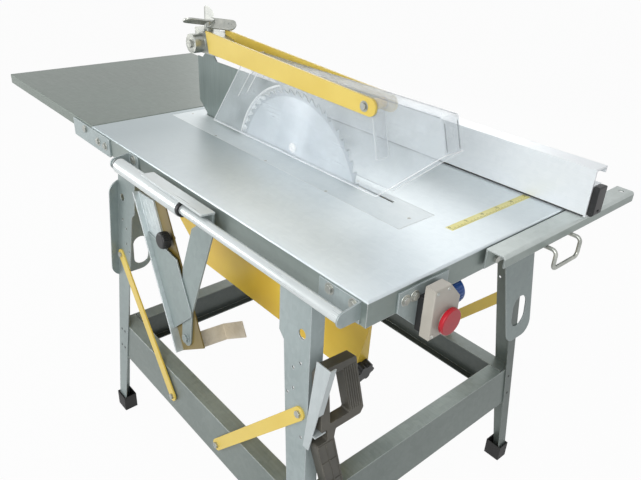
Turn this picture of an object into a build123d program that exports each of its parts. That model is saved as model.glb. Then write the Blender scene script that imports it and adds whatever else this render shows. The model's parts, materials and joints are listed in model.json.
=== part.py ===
"""Construction table saw: a galvanised site saw with rip fence, crosscut carriage and rear extension.

Machine frame used while building, in millimetres: x runs to the operator's right from the table's
left edge, y runs to the rear from the table's front edge, z runs up from the floor. The finished
pieces are moved so that the origin is on the floor under the middle of the whole object.
"""
import math
import os

from build123d import *

# Table
TABLE_WIDTH = 660.0
TABLE_LENGTH = 1000.0
TABLE_HEIGHT = 850.0
TABLE_SHEET = 3.0
SKIRT_DEPTH = 48.0
EDGE_RADIUS = 4.0

# Where the blade stands in the table
BLADE_X = 297.0
BLADE_TO_REAR_EDGE = 458.0
BLADE_Y = TABLE_LENGTH - BLADE_TO_REAR_EDGE

# Insert plate in the table and its screws
INSERT_X = (BLADE_X - 81.0, BLADE_X + 20.0)
INSERT_Y = (BLADE_Y - 404.0, BLADE_Y + 433.0)
INSERT_GAP = 0.5
LEDGE_OUT = 12.0
LEDGE_IN = 8.0
LEDGE_END = 40.0
LEDGE_SHEET = 3.0
SLOT_Y = (BLADE_Y - 315.0, BLADE_Y + 390.0)
SLOT_WIDTH = 8.0
INSERT_SCREW_RADIUS = 3.5
INSERT_SCREW_HEAD = 1.6
INSERT_SCREW_SHANK = 2.0
INSERT_SCREW_ROWS = 3

# General fits
FIT = 0.3
HOLE_FIT = 0.25
RUN_FIT = 0.06
LIE_GAP = 0.2

# Legs: an angle section of sheet steel that leans outwards both ways
LEG_SHEET = 3.0
LEG_REF_Z = TABLE_HEIGHT - 50.0
LEG_SKIRT_GAP = 0.5
LEG_REF_Y = 130.0
LEG_LEAN_X = 0.068
LEG_LEAN_Y = 0.08
LEG_FACE_TOP = 88.0
LEG_NOTCH_Z = TABLE_HEIGHT - 182.0
LEG_NOTCH = 14.0
LEG_FACE_FOOT = 35.0
LEG_FLANGE_TOP = 32.0
LEG_FLANGE_FOOT = 29.0
LEG_HOLE_RADIUS = 10.0
LEG_HOLE_Z = TABLE_HEIGHT - 144.0
LEG_HOLE_INSET = 23.0
LEG_SMALL_HOLE_RADIUS = 3.5
LEG_SMALL_HOLE_DROPS = ((205.0, 25.0), (225.0, 45.0), (269.0, 44.0), (287.0, 60.0), (363.0, 17.0))
LEG_SMALL_HOLES = tuple((TABLE_HEIGHT - drop, inset) for drop, inset in LEG_SMALL_HOLE_DROPS)

# Feet: black cups under the legs
FOOT_FLOOR = 10.0
FOOT_HEIGHT = 46.0
FOOT_WALL = 2.4
FOOT_PLAY = 0.8

# Lower rails: channels behind the legs
RAIL_BOTTOM = 208.0
RAIL_HEIGHT = 110.0
RAIL_SHEET = 3.0
RAIL_TOP_FLANGE = 40.0
RAIL_LOW_FLANGE = 22.0
RAIL_END_GAP = 3.0

# Side braces
BRACE_WIDTH = 28.0
BRACE_SHEET = 4.0
BRACE_LEG_Z = TABLE_HEIGHT - 310.0
BRACE_LEG_INSET = 21.0
BRACE_RAIL_Z = RAIL_BOTTOM + 46.0
BRACE_REACH = 266.0
BOLT_RADIUS = 4.0
BOLT_HEAD_RADIUS = 7.5
BOLT_HEAD = 5.0
BOLT_TAIL = 4.0

# Carry plates on the leg flanges, with hand holes
PLATE_SHEET = 3.0
PLATE_CORNER = 34.0
FRONT_PLATE_Z = (TABLE_HEIGHT - 438.0, TABLE_HEIGHT - 80.0)
FRONT_PLATE_TOP = (-34.0, 96.0)
FRONT_PLATE_LOW = (-56.0, 46.0)
FRONT_HAND_HOLE = (4.0, TABLE_HEIGHT - 355.0)
FRONT_HAND_WIDTH = 58.0
REAR_PLATE_Z = (TABLE_HEIGHT - 388.0, TABLE_HEIGHT - 104.0)
REAR_PLATE_TOP = (-24.0, 66.0)
REAR_PLATE_LOW = (-18.0, 100.0)
REAR_HAND_HOLE = (64.0, TABLE_HEIGHT - 328.0)
REAR_HAND_WIDTH = 42.0
HAND_HOLE_LENGTH = 86.0

# Guide tube on the left side, and its brackets
TUBE_RADIUS = 11.0
TUBE_WALL = 2.5
TUBE_OUT = 36.0
TUBE_Z = TABLE_HEIGHT - 24.0
TUBE_Y = (16.0, 786.0)
BRACKET_SHEET = 3.0
BRACKET_LENGTH = (92.0, 42.0)
BRACKET_Z = (TABLE_HEIGHT - 46.0, TABLE_HEIGHT - 5.0)
BRACKET_CAP_RADIUS = 14.0
BRACKET_BOLT_Z = TABLE_HEIGHT - 16.0

# Crosscut carriage: sleeve, strap and bushes
SLEEVE_RADIUS = 17.5
SLEEVE_BORE = 14.5
SLEEVE_Y = (482.0, 772.0)
BUSH_FLANGE = 6.0
BUSH_SPIGOT = 34.0
STRAP_SHEET = 4.0
STRAP_SINK = 1.0
STRAP_SIDE = (-8.0, 23.0)
STRAP_Y = (404.0, 650.0)
CARRIAGE_TILT = 5.0

# Carriage arm and mitre parts, laid out in the hanging plane as (y, depth below the tube axis)
ARM_SHEET = 4.0
ARM_SIDE = 18.0
ARM_TOP_Y = (404.0, 464.0)
ARM_SHOULDER = 30.0
ARM_KNEE = (470.0, 240.0)
ARM_BACK = ((512.0, 150.0), (480.0, 44.0), (464.0, 32.0))
PIVOT = (490.0, 316.0)
PIVOT_RADIUS = 6.0
PIVOT_HEAD_RADIUS = 10.0
ARM_END_RADIUS = 18.0
BAR_SHEET = 3.0
BAR_GAP = 0.3
BAR_ALONG = (0.546, -0.838)
BAR_WIDTH = 103.0
BAR_BELOW_PIVOT = 28.0
BAR_ABOVE_PIVOT = 349.0
BAR_FRONT = 60.0
FENCE_FLANGE_START = 172.0
FENCE_FLANGE = 62.0
FENCE_FLANGE_SHEET = 5.0
FENCE_LIP = 18.0
FENCE_LIP_SHEET = 3.5
MITRE_PLATE_SHEET = 3.0
MITRE_PLATE_REAR = (254.0, 27.0)
MITRE_PLATE_FRONT = ((-57.0, 44.0), (-60.0, 56.0), (-60.0, 172.0))
MITRE_KNOB_AT = (571.0, 106.0)
MITRE_KNOB_RADIUS = 18.0
MITRE_KNOB_HEIGHT = 20.0
MITRE_STUD_RADIUS = 4.0
PUSH_SHEET = 3.0
PUSH_ALONG = (-28.0, 8.0)
PUSH_PATH = ((40.0, 0.0), (-38.0, 0.0), (-42.0, 66.0), (-124.0, 66.0))

# Rip fence rail across the front right
RAIL_BAR_X = (BLADE_X - 9.0, TABLE_WIDTH + 112.0)
RAIL_BAR_WIDTH = 40.0
RAIL_BAR_GAP = 6.0
RAIL_BAR_SHEET = 3.0
RAIL_BAR_LIP = 22.0
RAIL_BAR_BACK = 40.0
RAIL_BAR_BEND = 7.0
RAIL_BAR_HOLE = 6.0
RAIL_SPACER_X = (BLADE_X + 23.0, TABLE_WIDTH - 180.0, TABLE_WIDTH - 20.0)
RAIL_SPACER_RADIUS = 10.0
RAIL_SPACER_DROP = 30.0

# Cable hook under the rail
HOOK_RADIUS = 4.0
HOOK_X = (432.0, 520.0)
HOOK_DROP = 39.0
HOOK_REACH = 22.0
HOOK_BEND = 10.0

# Rip fence
FENCE_X = TABLE_WIDTH - 105.0
FENCE_WALL = 4.0
FENCE_HEIGHT = 100.0
FENCE_END = TABLE_LENGTH - 38.0
FENCE_TOP_FLANGE = 42.0
FENCE_TOP_LIP = 9.0
FENCE_BOX_DEPTH = 34.0
FENCE_BOX_HEIGHT = 66.0
FENCE_BOX_WALL = 3.0
SHOE_LENGTH = 104.0
TONGUE_THICK = 3.4
TONGUE_DROP = 12.0
TONGUE_WIDTH = 18.0
LEVER_THICK = 13.4
LEVER_HEIGHT = 62.0
LEVER_EAR = 10.0
LEVER_PIN_RADIUS = 3.0
LEVER_PIN_RISE = 10.0

# Rear extension table
EXT_LENGTH = 630.0
EXT_SHEET = 2.5
EXT_SKIRT = 28.0
EXT_GAP = 1.5
EXT_NOTCH = (24.0, 14.0)
EXT_PIN_INSET = 34.0
EXT_PIN_DROP = 16.0
EXT_PIN_RADIUS = 5.0
EXT_BRACKET_Y = (TABLE_LENGTH - 105.0, TABLE_LENGTH + 113.0)
EXT_BRACKET_Z = (TABLE_HEIGHT - 52.0, TABLE_HEIGHT - 5.0)
EXT_BRACKET_SHEET = 4.0
EXT_BOLT_Y = (TABLE_LENGTH - 81.0, TABLE_LENGTH - 40.0)

# Saw blade and drive
BLADE_RADIUS = 225.0
BLADE_THICK = 3.0
BLADE_AXIS_DROP = 73.0
BLADE_TOP = TABLE_HEIGHT - BLADE_AXIS_DROP + BLADE_RADIUS
BLADE_TEETH = 56
TOOTH_DEPTH = 9.0
SHAFT_RADIUS = 15.0
FLANGE_RADIUS = 55.0
FLANGE_THICK = 8.0
NUT_RADIUS = 23.0
NUT_THICK = 13.0
SHAFT_END = 5.0
HOUSING_RADIUS = 62.0
HOUSING_WALL = 5.0
HOUSING_LENGTH = 218.0
SHIELD_THICK = 24.0
BEARING_RADIUS = 26.0
BEARING_WIDTH = 14.0
FIN_COUNT = 24
FIN_HEIGHT = 4.0
FIN_THICK = 3.0
ROTOR_RADIUS = 35.5
STATOR_BORE = 36.2
CORE_LENGTH = 110.0
FAN_RADIUS = 50.0
FAN_WIDTH = 15.0
FAN_VANES = 8
COWL_LENGTH = 46.0
COWL_WALL = 2.0
HANGER_THICK = 12.0
HANGER_HALF = 84.0
HANGER_DROP = 120.0

# Yellow lower guard
GUARD_WALL = 2.0
GUARD_HALF = 75.0
GUARD_FRONT = BLADE_Y - 354.0
GUARD_REAR = BLADE_Y + 443.0
GUARD_BOTTOM = TABLE_HEIGHT - 412.0
GUARD_FRONT_KNEE = TABLE_HEIGHT - 245.0
GUARD_FRONT_TOE = BLADE_Y - 316.0
GUARD_REAR_TOE = BLADE_Y + 318.0
GUARD_REAR_KNEE = TABLE_HEIGHT - 320.0
GUARD_LIP = 4.0
GUARD_SLANT = 0.95
GUARD_SHAFT_HOLE = 20.0
LOCK_KNOB_RADIUS = 26.0
LOCK_KNOB_HEIGHT = 20.0
LOCK_KNOB_LOBES = 6
LOCK_KNOB_X = BLADE_X - 61.0
LOCK_KNOB_Z = GUARD_BOTTOM + 22.0
LOCK_STUD_RADIUS = 5.0

# Riving knife and its clamp
KNIFE_THICK = 2.6
KNIFE_GAP = 6.0
KNIFE_ARC = (-20.0, 74.0)
KNIFE_REAR = BLADE_Y + 421.0
KNIFE_TOP = BLADE_TOP + 1.0
KNIFE_NECK_RADIUS = 22.0
KNIFE_SHANK = BLADE_Y + 386.0
KNIFE_FOOT = TABLE_HEIGHT - 160.0
CLAMP_Y = (BLADE_Y + 264.0, BLADE_Y + 350.0)
CLAMP_Z = (TABLE_HEIGHT - 150.0, TABLE_HEIGHT - 88.0)
CLAMP_JAW = 9.0

# Upper guard arms and saddle
ARM_BAR_SHEET = 5.0
ARM_BAR_SPREAD = 28.5
ARM_BAR_HALF = 18.0
ARM_FRONT = (BLADE_Y - 241.0, BLADE_TOP + 31.0)
ARM_END = (BLADE_Y - 254.0, BLADE_TOP + 32.0)
ARM_REAR_TOP = (BLADE_Y + 330.0, BLADE_TOP + 80.0)
ARM_REAR_LOW = (BLADE_Y + 317.0, BLADE_TOP + 28.0)
HINGE_AT = (BLADE_Y + 363.0, BLADE_TOP + 46.0)
HINGE_RADIUS = 6.0
HINGE_DISC_RADIUS = 24.0
HINGE_DISC_THICK = 28.0
SADDLE_SHEET = 4.0
SADDLE_FRONT = BLADE_Y + 285.0
SADDLE_WEB_REAR = BLADE_Y + 388.0
SADDLE_TOP = BLADE_TOP + 76.0
SADDLE_LOW = BLADE_TOP + 24.0
SADDLE_TILT = 12.0
SPACER_RADIUS = 11.0
FRONT_BOLT_RADIUS = 4.0
HEX_HEAD = 6.0
HEX_RADIUS = 10.0
WING_STUD_RADIUS = 5.0
WING_HUB_RADIUS = 12.0
WING_HUB_HEIGHT = 28.0
WING_REACH = 75.0
WING_WIDTH = 30.0
WING_SHEET = 4.0
WING_PITCH = 38.0
WING_RISE = 10.0
WING_START = 60.0
WING_COUNT = 3

# Clear hood over the blade
HOOD_HALF = 25.0
HOOD_WALL = 3.0
HOOD_ROUND = 7.0
HOOD_TOP = ((BLADE_Y + 160.0, BLADE_TOP + 56.0), (BLADE_Y - 424.0, BLADE_TOP + 56.0))
HOOD_NOSE = (BLADE_Y - 443.0, BLADE_TOP - 8.0)
HOOD_LEAD = (BLADE_Y - 288.0, TABLE_HEIGHT + 8.0)
HOOD_TAIL = (BLADE_Y + 315.0, TABLE_HEIGHT + 8.0)

# Switch and power inlet
SWITCH_X = (116.0, 186.0)
SWITCH_Z = (TABLE_HEIGHT - 105.0, TABLE_HEIGHT - 8.0)
SWITCH_BASE_Z = (TABLE_HEIGHT - 98.0, TABLE_HEIGHT - 32.0)
SWITCH_BASE_DEPTH = 12.0
SWITCH_LID_DEPTH = 21.0
SWITCH_WALL = 2.5
SWITCH_CHAMFER = (30.0, 33.0)
STOP_AT = (153.0, TABLE_HEIGHT - 75.0)
STOP_RADIUS = 25.0
STOP_STEM_RADIUS = 10.0
STOP_THICK = 8.0
STOP_STANDOFF = 6.0
SWITCH_BRACKET_X = (68.0, 190.0)
SWITCH_BRACKET_TOP = TABLE_HEIGHT - 10.0
SWITCH_BRACKET_LOW = TABLE_HEIGHT - 105.0
SWITCH_BRACKET_SLOPE = 64.0
SWITCH_BRACKET_SHEET = 3.0
SWITCH_TAB_DEPTH = 56.0
SWITCH_TAB_GAP = 2.0
SWITCH_BOLT_X = (84.0, 106.0)
SWITCH_BOLT_Z = TABLE_HEIGHT - 28.0
INLET_RADIUS = 26.0
INLET_BORE = 20.0
INLET_LENGTH = 68.0
INLET_FLOOR = 14.0
INLET_Z = TABLE_HEIGHT - 88.0

# Push stick and its holder on the front left leg
HOLDER_SHEET = 2.5
HOLDER_FOOT = (95.0, 111.0, TABLE_HEIGHT - 373.0)
HOLDER_HEAD = (63.0, 99.0, TABLE_HEIGHT - 173.0)
HOLDER_LIP = 12.0
HOLDER_LIP_LOW = TABLE_HEIGHT - 285.0
HOLDER_TAB = 9.0
HOLDER_TAB_SHEET = 3.0
STICK_THICK = 24.0
STICK_GAP = 1.0
STICK_SHOULDER = TABLE_HEIGHT - 334.0
STICK_HEAD = STICK_SHOULDER + 136.0
STICK_BAR = STICK_SHOULDER - 8.0
STICK_NOTCH = STICK_SHOULDER - 26.0
STICK_FORK = STICK_SHOULDER - 216.0
STICK_HOLE_Z = (STICK_SHOULDER + 10.0, STICK_SHOULDER + 118.0)
STICK_OUTER = ((-2.0, STICK_HEAD - 12.0), (14.0, STICK_HEAD), (84.0, STICK_HEAD - 4.0),
               (106.0, STICK_SHOULDER + 4.0), (98.0, STICK_BAR), (34.0, STICK_BAR), (30.0, STICK_NOTCH),
               (66.0, STICK_FORK), (46.0, STICK_FORK + 20.0), (26.0, STICK_FORK), (-13.0, STICK_NOTCH),
               (14.0, STICK_NOTCH), (14.0, STICK_SHOULDER), (-2.0, STICK_SHOULDER))
STICK_HOLE = ((18.0, STICK_HOLE_Z[1]), (51.0, STICK_HOLE_Z[1]), (71.0, STICK_HOLE_Z[0]),
              (20.0, STICK_HOLE_Z[0]))
STICK_ROUND = 4.0

# Derived places
TOP_UNDER = TABLE_HEIGHT - TABLE_SHEET
SKIRT_LOW = TABLE_HEIGHT - SKIRT_DEPTH
LEDGE_LOW = TOP_UNDER - LEDGE_SHEET
BLADE_Z = TABLE_HEIGHT - BLADE_AXIS_DROP
GUARD_X = (BLADE_X - GUARD_HALF, BLADE_X + GUARD_HALF)
TUBE_X = -TUBE_OUT
HOUSING_X = (GUARD_X[1], GUARD_X[1] + HOUSING_LENGTH)
EXT_FRONT = TABLE_LENGTH + EXT_GAP
EXT_PIN = (EXT_FRONT + EXT_PIN_INSET, TABLE_HEIGHT - EXT_PIN_DROP)
RAIL_TOP = RAIL_BOTTOM + RAIL_HEIGHT
FENCE_LOW = TABLE_HEIGHT + FIT
RAIL_BAR_Y = (-RAIL_BAR_GAP - RAIL_BAR_WIDTH, -RAIL_BAR_GAP)
LEVER_PIN = (RAIL_BAR_Y[0] - LEVER_THICK / 2 - FIT, FENCE_LOW + LEVER_PIN_RISE)
FENCE_BOX_X = (FENCE_X + FENCE_WALL, FENCE_X + FENCE_BOX_DEPTH)

# Planes whose own x is Y or X and whose own y is Z
SIDE = Plane(origin=(0, 0, 0), x_dir=(0, 1, 0), z_dir=(1, 0, 0))
FRONT = Plane(origin=(0, 0, 0), x_dir=(1, 0, 0), z_dir=(0, -1, 0))


def block(x, y, z):
    """Box between two values on each axis."""
    centre = ((x[0] + x[1]) / 2, (y[0] + y[1]) / 2, (z[0] + z[1]) / 2)
    return Pos(*centre) * Box(x[1] - x[0], y[1] - y[0], z[1] - z[0])


def rod(start, end, radius):
    """Round bar between two points."""
    begin = Vector(*start)
    along = Vector(*end) - begin
    base = Plane(origin=begin, z_dir=along)
    return base.location * Cylinder(radius, along.length, align=(Align.CENTER, Align.CENTER, Align.MIN))


def hexagon(start, end, radius):
    """Six-sided bar between two points, for bolt heads and nuts."""
    begin = Vector(*start)
    along = Vector(*end) - begin
    base = Plane(origin=begin, z_dir=along)
    return extrude(base * RegularPolygon(radius, 6), amount=along.length)


def outline(points):
    """Flat face inside a closed run of straight edges."""
    return make_face(Polyline(*points, close=True))


def side_plate(face, x):
    """Plate from a face drawn in (y, z), between two x values."""
    return extrude(SIDE.offset(x[0]) * face, amount=x[1] - x[0])


def front_plate(face, y):
    """Plate from a face drawn in (x, z), between two y values."""
    return extrude(FRONT.offset(-y[1]) * face, amount=y[1] - y[0])


def disc_at(point, radius):
    """Round face centred on a point."""
    return Pos(point[0], point[1]) * Circle(radius)


def group(solids):
    """Several separate solids as one node."""
    return Compound(children=list(solids))


def to_right(piece):
    """Mirror image on the other side of the table's middle line."""
    return mirror(piece, about=Plane.YZ.offset(TABLE_WIDTH / 2))


def to_rear(piece):
    """Mirror image at the other end of the table."""
    return mirror(piece, about=Plane.XZ.offset(-TABLE_LENGTH / 2))


# Table


def insert_screw_places():
    """Centres of the insert's screws: one at each end and pairs along the sides."""
    middle = (INSERT_X[0] + INSERT_X[1]) / 2
    inset = LEDGE_END / 2
    side = LEDGE_IN / 2
    places = [(middle, INSERT_Y[0] + inset), (middle, INSERT_Y[1] - inset)]
    step = (INSERT_Y[1] - INSERT_Y[0]) / (INSERT_SCREW_ROWS + 1)
    for row in range(INSERT_SCREW_ROWS):
        y = INSERT_Y[0] + step * (row + 1)
        places += [(INSERT_X[0] + side, y), (INSERT_X[1] - side, y)]
    return places


def make_table_top():
    """Sheet table with down-turned skirt and a ledge that carries the insert."""
    outer = block((0, TABLE_WIDTH), (0, TABLE_LENGTH), (SKIRT_LOW, TABLE_HEIGHT))
    outer = fillet(outer.edges().group_by(Axis.Z)[-1], EDGE_RADIUS)
    wall = TABLE_SHEET
    inside = block((wall, TABLE_WIDTH - wall), (wall, TABLE_LENGTH - wall), (SKIRT_LOW - wall, TOP_UNDER))
    grow = INSERT_GAP
    opening_x = (INSERT_X[0] - grow, INSERT_X[1] + grow)
    opening_y = (INSERT_Y[0] - grow, INSERT_Y[1] + grow)
    opening = block(opening_x, opening_y, (TOP_UNDER, TABLE_HEIGHT))
    ledge_x = (INSERT_X[0] - LEDGE_OUT, INSERT_X[1] + LEDGE_OUT)
    ledge_y = (INSERT_Y[0] - LEDGE_OUT, INSERT_Y[1] + LEDGE_OUT)
    ledge = block(ledge_x, ledge_y, (LEDGE_LOW, TOP_UNDER))
    window_x = (INSERT_X[0] + LEDGE_IN, INSERT_X[1] - LEDGE_IN)
    window_y = (INSERT_Y[0] + LEDGE_END, INSERT_Y[1] - LEDGE_END)
    ledge -= block(window_x, window_y, (LEDGE_LOW, TOP_UNDER))
    table = outer - inside - opening + ledge
    for x, y in insert_screw_places():
        table -= rod((x, y, LEDGE_LOW), (x, y, TOP_UNDER), INSERT_SCREW_SHANK + HOLE_FIT)
    return table


def make_insert():
    """Insert plate, flush with the table, with the blade slot and countersunk screw seats."""
    plate = block(INSERT_X, INSERT_Y, (TOP_UNDER, TABLE_HEIGHT))
    slot_x = (BLADE_X - SLOT_WIDTH / 2, BLADE_X + SLOT_WIDTH / 2)
    plate -= block(slot_x, SLOT_Y, (TOP_UNDER, TABLE_HEIGHT))
    for x, y in insert_screw_places():
        plate -= rod((x, y, TOP_UNDER), (x, y, TABLE_HEIGHT), INSERT_SCREW_SHANK + HOLE_FIT)
        seat = (x, y, TABLE_HEIGHT - INSERT_SCREW_HEAD)
        plate -= rod(seat, (x, y, TABLE_HEIGHT), INSERT_SCREW_RADIUS + HOLE_FIT)
    return plate


def make_insert_screws():
    """Screws that hold the insert on its ledge."""
    screws = []
    for x, y in insert_screw_places():
        seat = (x, y, TABLE_HEIGHT - INSERT_SCREW_HEAD)
        head = rod(seat, (x, y, TABLE_HEIGHT), INSERT_SCREW_RADIUS)
        screws.append(head + rod((x, y, LEDGE_LOW), seat, INSERT_SCREW_SHANK))
    return screws


# Stand


def leg_x(z):
    """Outer side face of a left leg at a height."""
    return TABLE_SHEET + LEG_SKIRT_GAP - LEG_LEAN_X * (LEG_REF_Z - z)


def leg_y(z):
    """Outer end face of a front leg at a height."""
    return LEG_REF_Y - LEG_LEAN_Y * (LEG_REF_Z - z)


def leg_face(z):
    """Width of a leg's side face below its notch."""
    span = LEG_NOTCH_Z - FOOT_FLOOR
    top = LEG_FACE_TOP - LEG_NOTCH
    return LEG_FACE_FOOT + (top - LEG_FACE_FOOT) * (z - FOOT_FLOOR) / span


def leg_flange(z):
    """Width of a leg's end flange at a height."""
    span = TOP_UNDER - FOOT_FLOOR
    return LEG_FLANGE_FOOT + (LEG_FLANGE_TOP - LEG_FLANGE_FOOT) * (z - FOOT_FLOOR) / span


def on_side(points, thickness):
    """Sheet on a left leg's leaning side plane, from (y, z) points, thickened along x."""
    corners = [(leg_x(z), y, z) for y, z in points]
    direction = (1, 0, 0) if thickness > 0 else (-1, 0, 0)
    return extrude(outline(corners), amount=abs(thickness), dir=direction)


def on_end(points, thickness):
    """Sheet on a front leg's leaning end plane, from (x, z) points, thickened along y."""
    corners = [(x, leg_y(z), z) for x, z in points]
    direction = (0, 1, 0) if thickness > 0 else (0, -1, 0)
    return extrude(outline(corners), amount=abs(thickness), dir=direction)


def side_normal():
    """Outward direction of a left leg's side face."""
    return Vector(-1, 0, LEG_LEAN_X).normalized()


def side_point(y, z, out=0.0):
    """Point on a left leg's side plane, moved outwards by a distance."""
    return Vector(leg_x(z), y, z) + side_normal() * out


def brace_ends():
    """Bolt centres of the front left brace, as (y, z): on the leg and on the rail."""
    leg_end = (leg_y(BRACE_LEG_Z) + BRACE_LEG_INSET, BRACE_LEG_Z)
    return leg_end, (leg_end[0] + BRACE_REACH, BRACE_RAIL_Z)


def bolt_hole(place, deep):
    """Drill for a brace bolt through the sheets behind a side point."""
    y, z = place
    return rod(side_point(y, z, BRACE_SHEET), side_point(y, z, -deep), BOLT_RADIUS + HOLE_FIT)


def make_leg():
    """Front left leg: side face with its wider top, end flange, and the row of small holes."""
    notch_face = leg_face(LEG_NOTCH_Z)
    low = FOOT_FLOOR
    step_z = LEG_NOTCH_Z + LEG_NOTCH
    face = [
        (leg_y(TOP_UNDER), TOP_UNDER),
        (leg_y(TOP_UNDER) + LEG_FACE_TOP, TOP_UNDER),
        (leg_y(step_z) + LEG_FACE_TOP, step_z),
        (leg_y(LEG_NOTCH_Z) + notch_face, LEG_NOTCH_Z),
        (leg_y(low) + leg_face(low), low),
        (leg_y(low), low),
    ]
    flange = [
        (leg_x(TOP_UNDER), TOP_UNDER),
        (leg_x(TOP_UNDER) + leg_flange(TOP_UNDER), TOP_UNDER),
        (leg_x(low) + leg_flange(low), low),
        (leg_x(low), low),
    ]
    leg = on_side(face, LEG_SHEET) + on_end(flange, LEG_SHEET)
    leg -= drill_side(LEG_HOLE_Z, LEG_HOLE_INSET, LEG_HOLE_RADIUS)
    for z, inset in LEG_SMALL_HOLES:
        leg -= drill_side(z, inset, LEG_SMALL_HOLE_RADIUS)
    return leg - bolt_hole(brace_ends()[0], 3 * LEG_SHEET)


def drill_side(z, inset, radius):
    """Drill through a leg's side face, a distance behind its corner."""
    y = leg_y(z) + inset
    return rod(side_point(y, z, LEG_SHEET), side_point(y, z, -3 * LEG_SHEET), radius)


def make_foot():
    """Front left foot: a plain cup that the leg stands in."""
    low, high = FOOT_FLOOR, FOOT_HEIGHT
    x = (leg_x(low) - FOOT_PLAY, leg_x(high) + leg_flange(high) + FOOT_PLAY)
    y = (leg_y(low) - FOOT_PLAY, leg_y(high) + leg_face(high) + FOOT_PLAY)
    outer = block((x[0] - FOOT_WALL, x[1] + FOOT_WALL), (y[0] - FOOT_WALL, y[1] + FOOT_WALL), (0, high))
    outer = fillet(outer.edges().filter_by(Axis.Z), FOOT_WALL)
    return outer - block(x, y, (low, high))


def rail_profile(face_at):
    """Channel outline: leaning web behind the leg, with flanges turned inwards."""
    low, high, sheet = RAIL_BOTTOM, RAIL_TOP, RAIL_SHEET
    web = outline([
        (face_at(low), low),
        (face_at(high), high),
        (face_at(high) + sheet, high),
        (face_at(low) + sheet, low),
    ])
    return web


def make_left_rail():
    """Left channel between the legs, behind their side faces."""
    inner = lambda z: leg_x(z) + LEG_SHEET
    start = leg_y(RAIL_TOP) + LEG_SHEET + RAIL_SHEET + RAIL_END_GAP
    y = (start, TABLE_LENGTH - start)
    rail = front_plate(rail_profile(inner), y)
    top_x = (inner(RAIL_TOP), inner(RAIL_TOP) + RAIL_TOP_FLANGE)
    rail += block(top_x, y, (RAIL_TOP - RAIL_SHEET, RAIL_TOP))
    low_start = inner(RAIL_BOTTOM + RAIL_SHEET)
    low_x = (low_start, low_start + RAIL_LOW_FLANGE)
    rail += block(low_x, y, (RAIL_BOTTOM, RAIL_BOTTOM + RAIL_SHEET))
    hole = bolt_hole(brace_ends()[1], 4 * RAIL_SHEET)
    return rail - hole - to_rear(hole)


def make_front_rail():
    """Front channel between the legs; its flanges stop short of the side channels."""
    inner = lambda z: leg_y(z) + LEG_SHEET
    web_start = leg_x(RAIL_TOP) + LEG_SHEET + RAIL_END_GAP
    rail = side_plate(rail_profile(inner), (web_start, TABLE_WIDTH - web_start))
    start = leg_x(RAIL_TOP) + LEG_SHEET + RAIL_TOP_FLANGE + RAIL_END_GAP
    x = (start, TABLE_WIDTH - start)
    top_y = (inner(RAIL_TOP), inner(RAIL_TOP) + RAIL_TOP_FLANGE)
    rail += block(x, top_y, (RAIL_TOP - RAIL_SHEET, RAIL_TOP))
    low_start = inner(RAIL_BOTTOM + RAIL_SHEET)
    low_y = (low_start, low_start + RAIL_LOW_FLANGE)
    return rail + block(x, low_y, (RAIL_BOTTOM, RAIL_BOTTOM + RAIL_SHEET))


def make_brace():
    """Front left brace: a flat bar with round ends, on the outside of leg and rail."""
    start, end = brace_ends()
    lean = math.hypot(1, LEG_LEAN_X)
    plane = Plane(origin=side_point(*start), x_dir=(0, -1, 0), z_dir=side_normal())
    across = -(end[0] - start[0])
    down = (end[1] - start[1]) * lean
    length = math.hypot(across, down)
    turn = math.degrees(math.atan2(down, across))
    bar = Rot(0, 0, turn) * Pos(length / 2, 0) * SlotCenterToCenter(length, BRACE_WIDTH)
    brace = extrude(plane * bar, amount=BRACE_SHEET)
    return brace - bolt_hole(start, LEG_SHEET) - bolt_hole(end, LEG_SHEET)


def make_brace_bolts():
    """Bolts of the front left brace, with the washer that fills the step at the rail."""
    bolts = []
    for (y, z), behind in zip(brace_ends(), (LEG_SHEET, LEG_SHEET + RAIL_SHEET)):
        face = side_point(y, z, BRACE_SHEET)
        bolt = hexagon(face, side_point(y, z, BRACE_SHEET + BOLT_HEAD), BOLT_HEAD_RADIUS)
        bolt += rod(face, side_point(y, z, -behind - BOLT_TAIL), BOLT_RADIUS)
        bolts.append(bolt)
    y, z = brace_ends()[1]
    washer = on_side_washer(y, z)
    bolts[1] += washer
    return bolts


def on_side_washer(y, z):
    """Washer between the rail brace end and the rail's web."""
    back = -LEG_SHEET / math.hypot(1, LEG_LEAN_X)
    return rod(side_point(y, z, 0), side_point(y, z, back), BOLT_HEAD_RADIUS)


def end_plane(gap):
    """Plane of a front leg's leaning end face, moved forwards by a gap; its own y runs up the slope."""
    return Plane(origin=(0, leg_y(0) - gap, 0), x_dir=(1, 0, 0), z_dir=(0, -1, LEG_LEAN_Y))


def up_slope(z):
    """Distance up the leg's end face to a height."""
    return z * math.hypot(1, LEG_LEAN_Y)


def make_carry_plate(heights, low_edges, top_edges, hand, hand_width):
    """Plate on a leg's end flange, given as distances inwards from the leg's corner, with a hand hole."""
    low, high = heights
    face = outline([
        (leg_x(high) + top_edges[0], up_slope(high)),
        (leg_x(high) + top_edges[1], up_slope(high)),
        (leg_x(low) + low_edges[1], up_slope(low)),
        (leg_x(low) + low_edges[0], up_slope(low)),
    ])
    face = fillet(face.vertices(), PLATE_CORNER)
    centre = (leg_x(hand[1]) + hand[0], up_slope(hand[1]))
    straight = HAND_HOLE_LENGTH - hand_width
    slot = Pos(*centre) * Rot(0, 0, 90) * SlotCenterToCenter(straight, hand_width)
    return extrude(end_plane(0) * (face - slot), amount=PLATE_SHEET)


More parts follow.
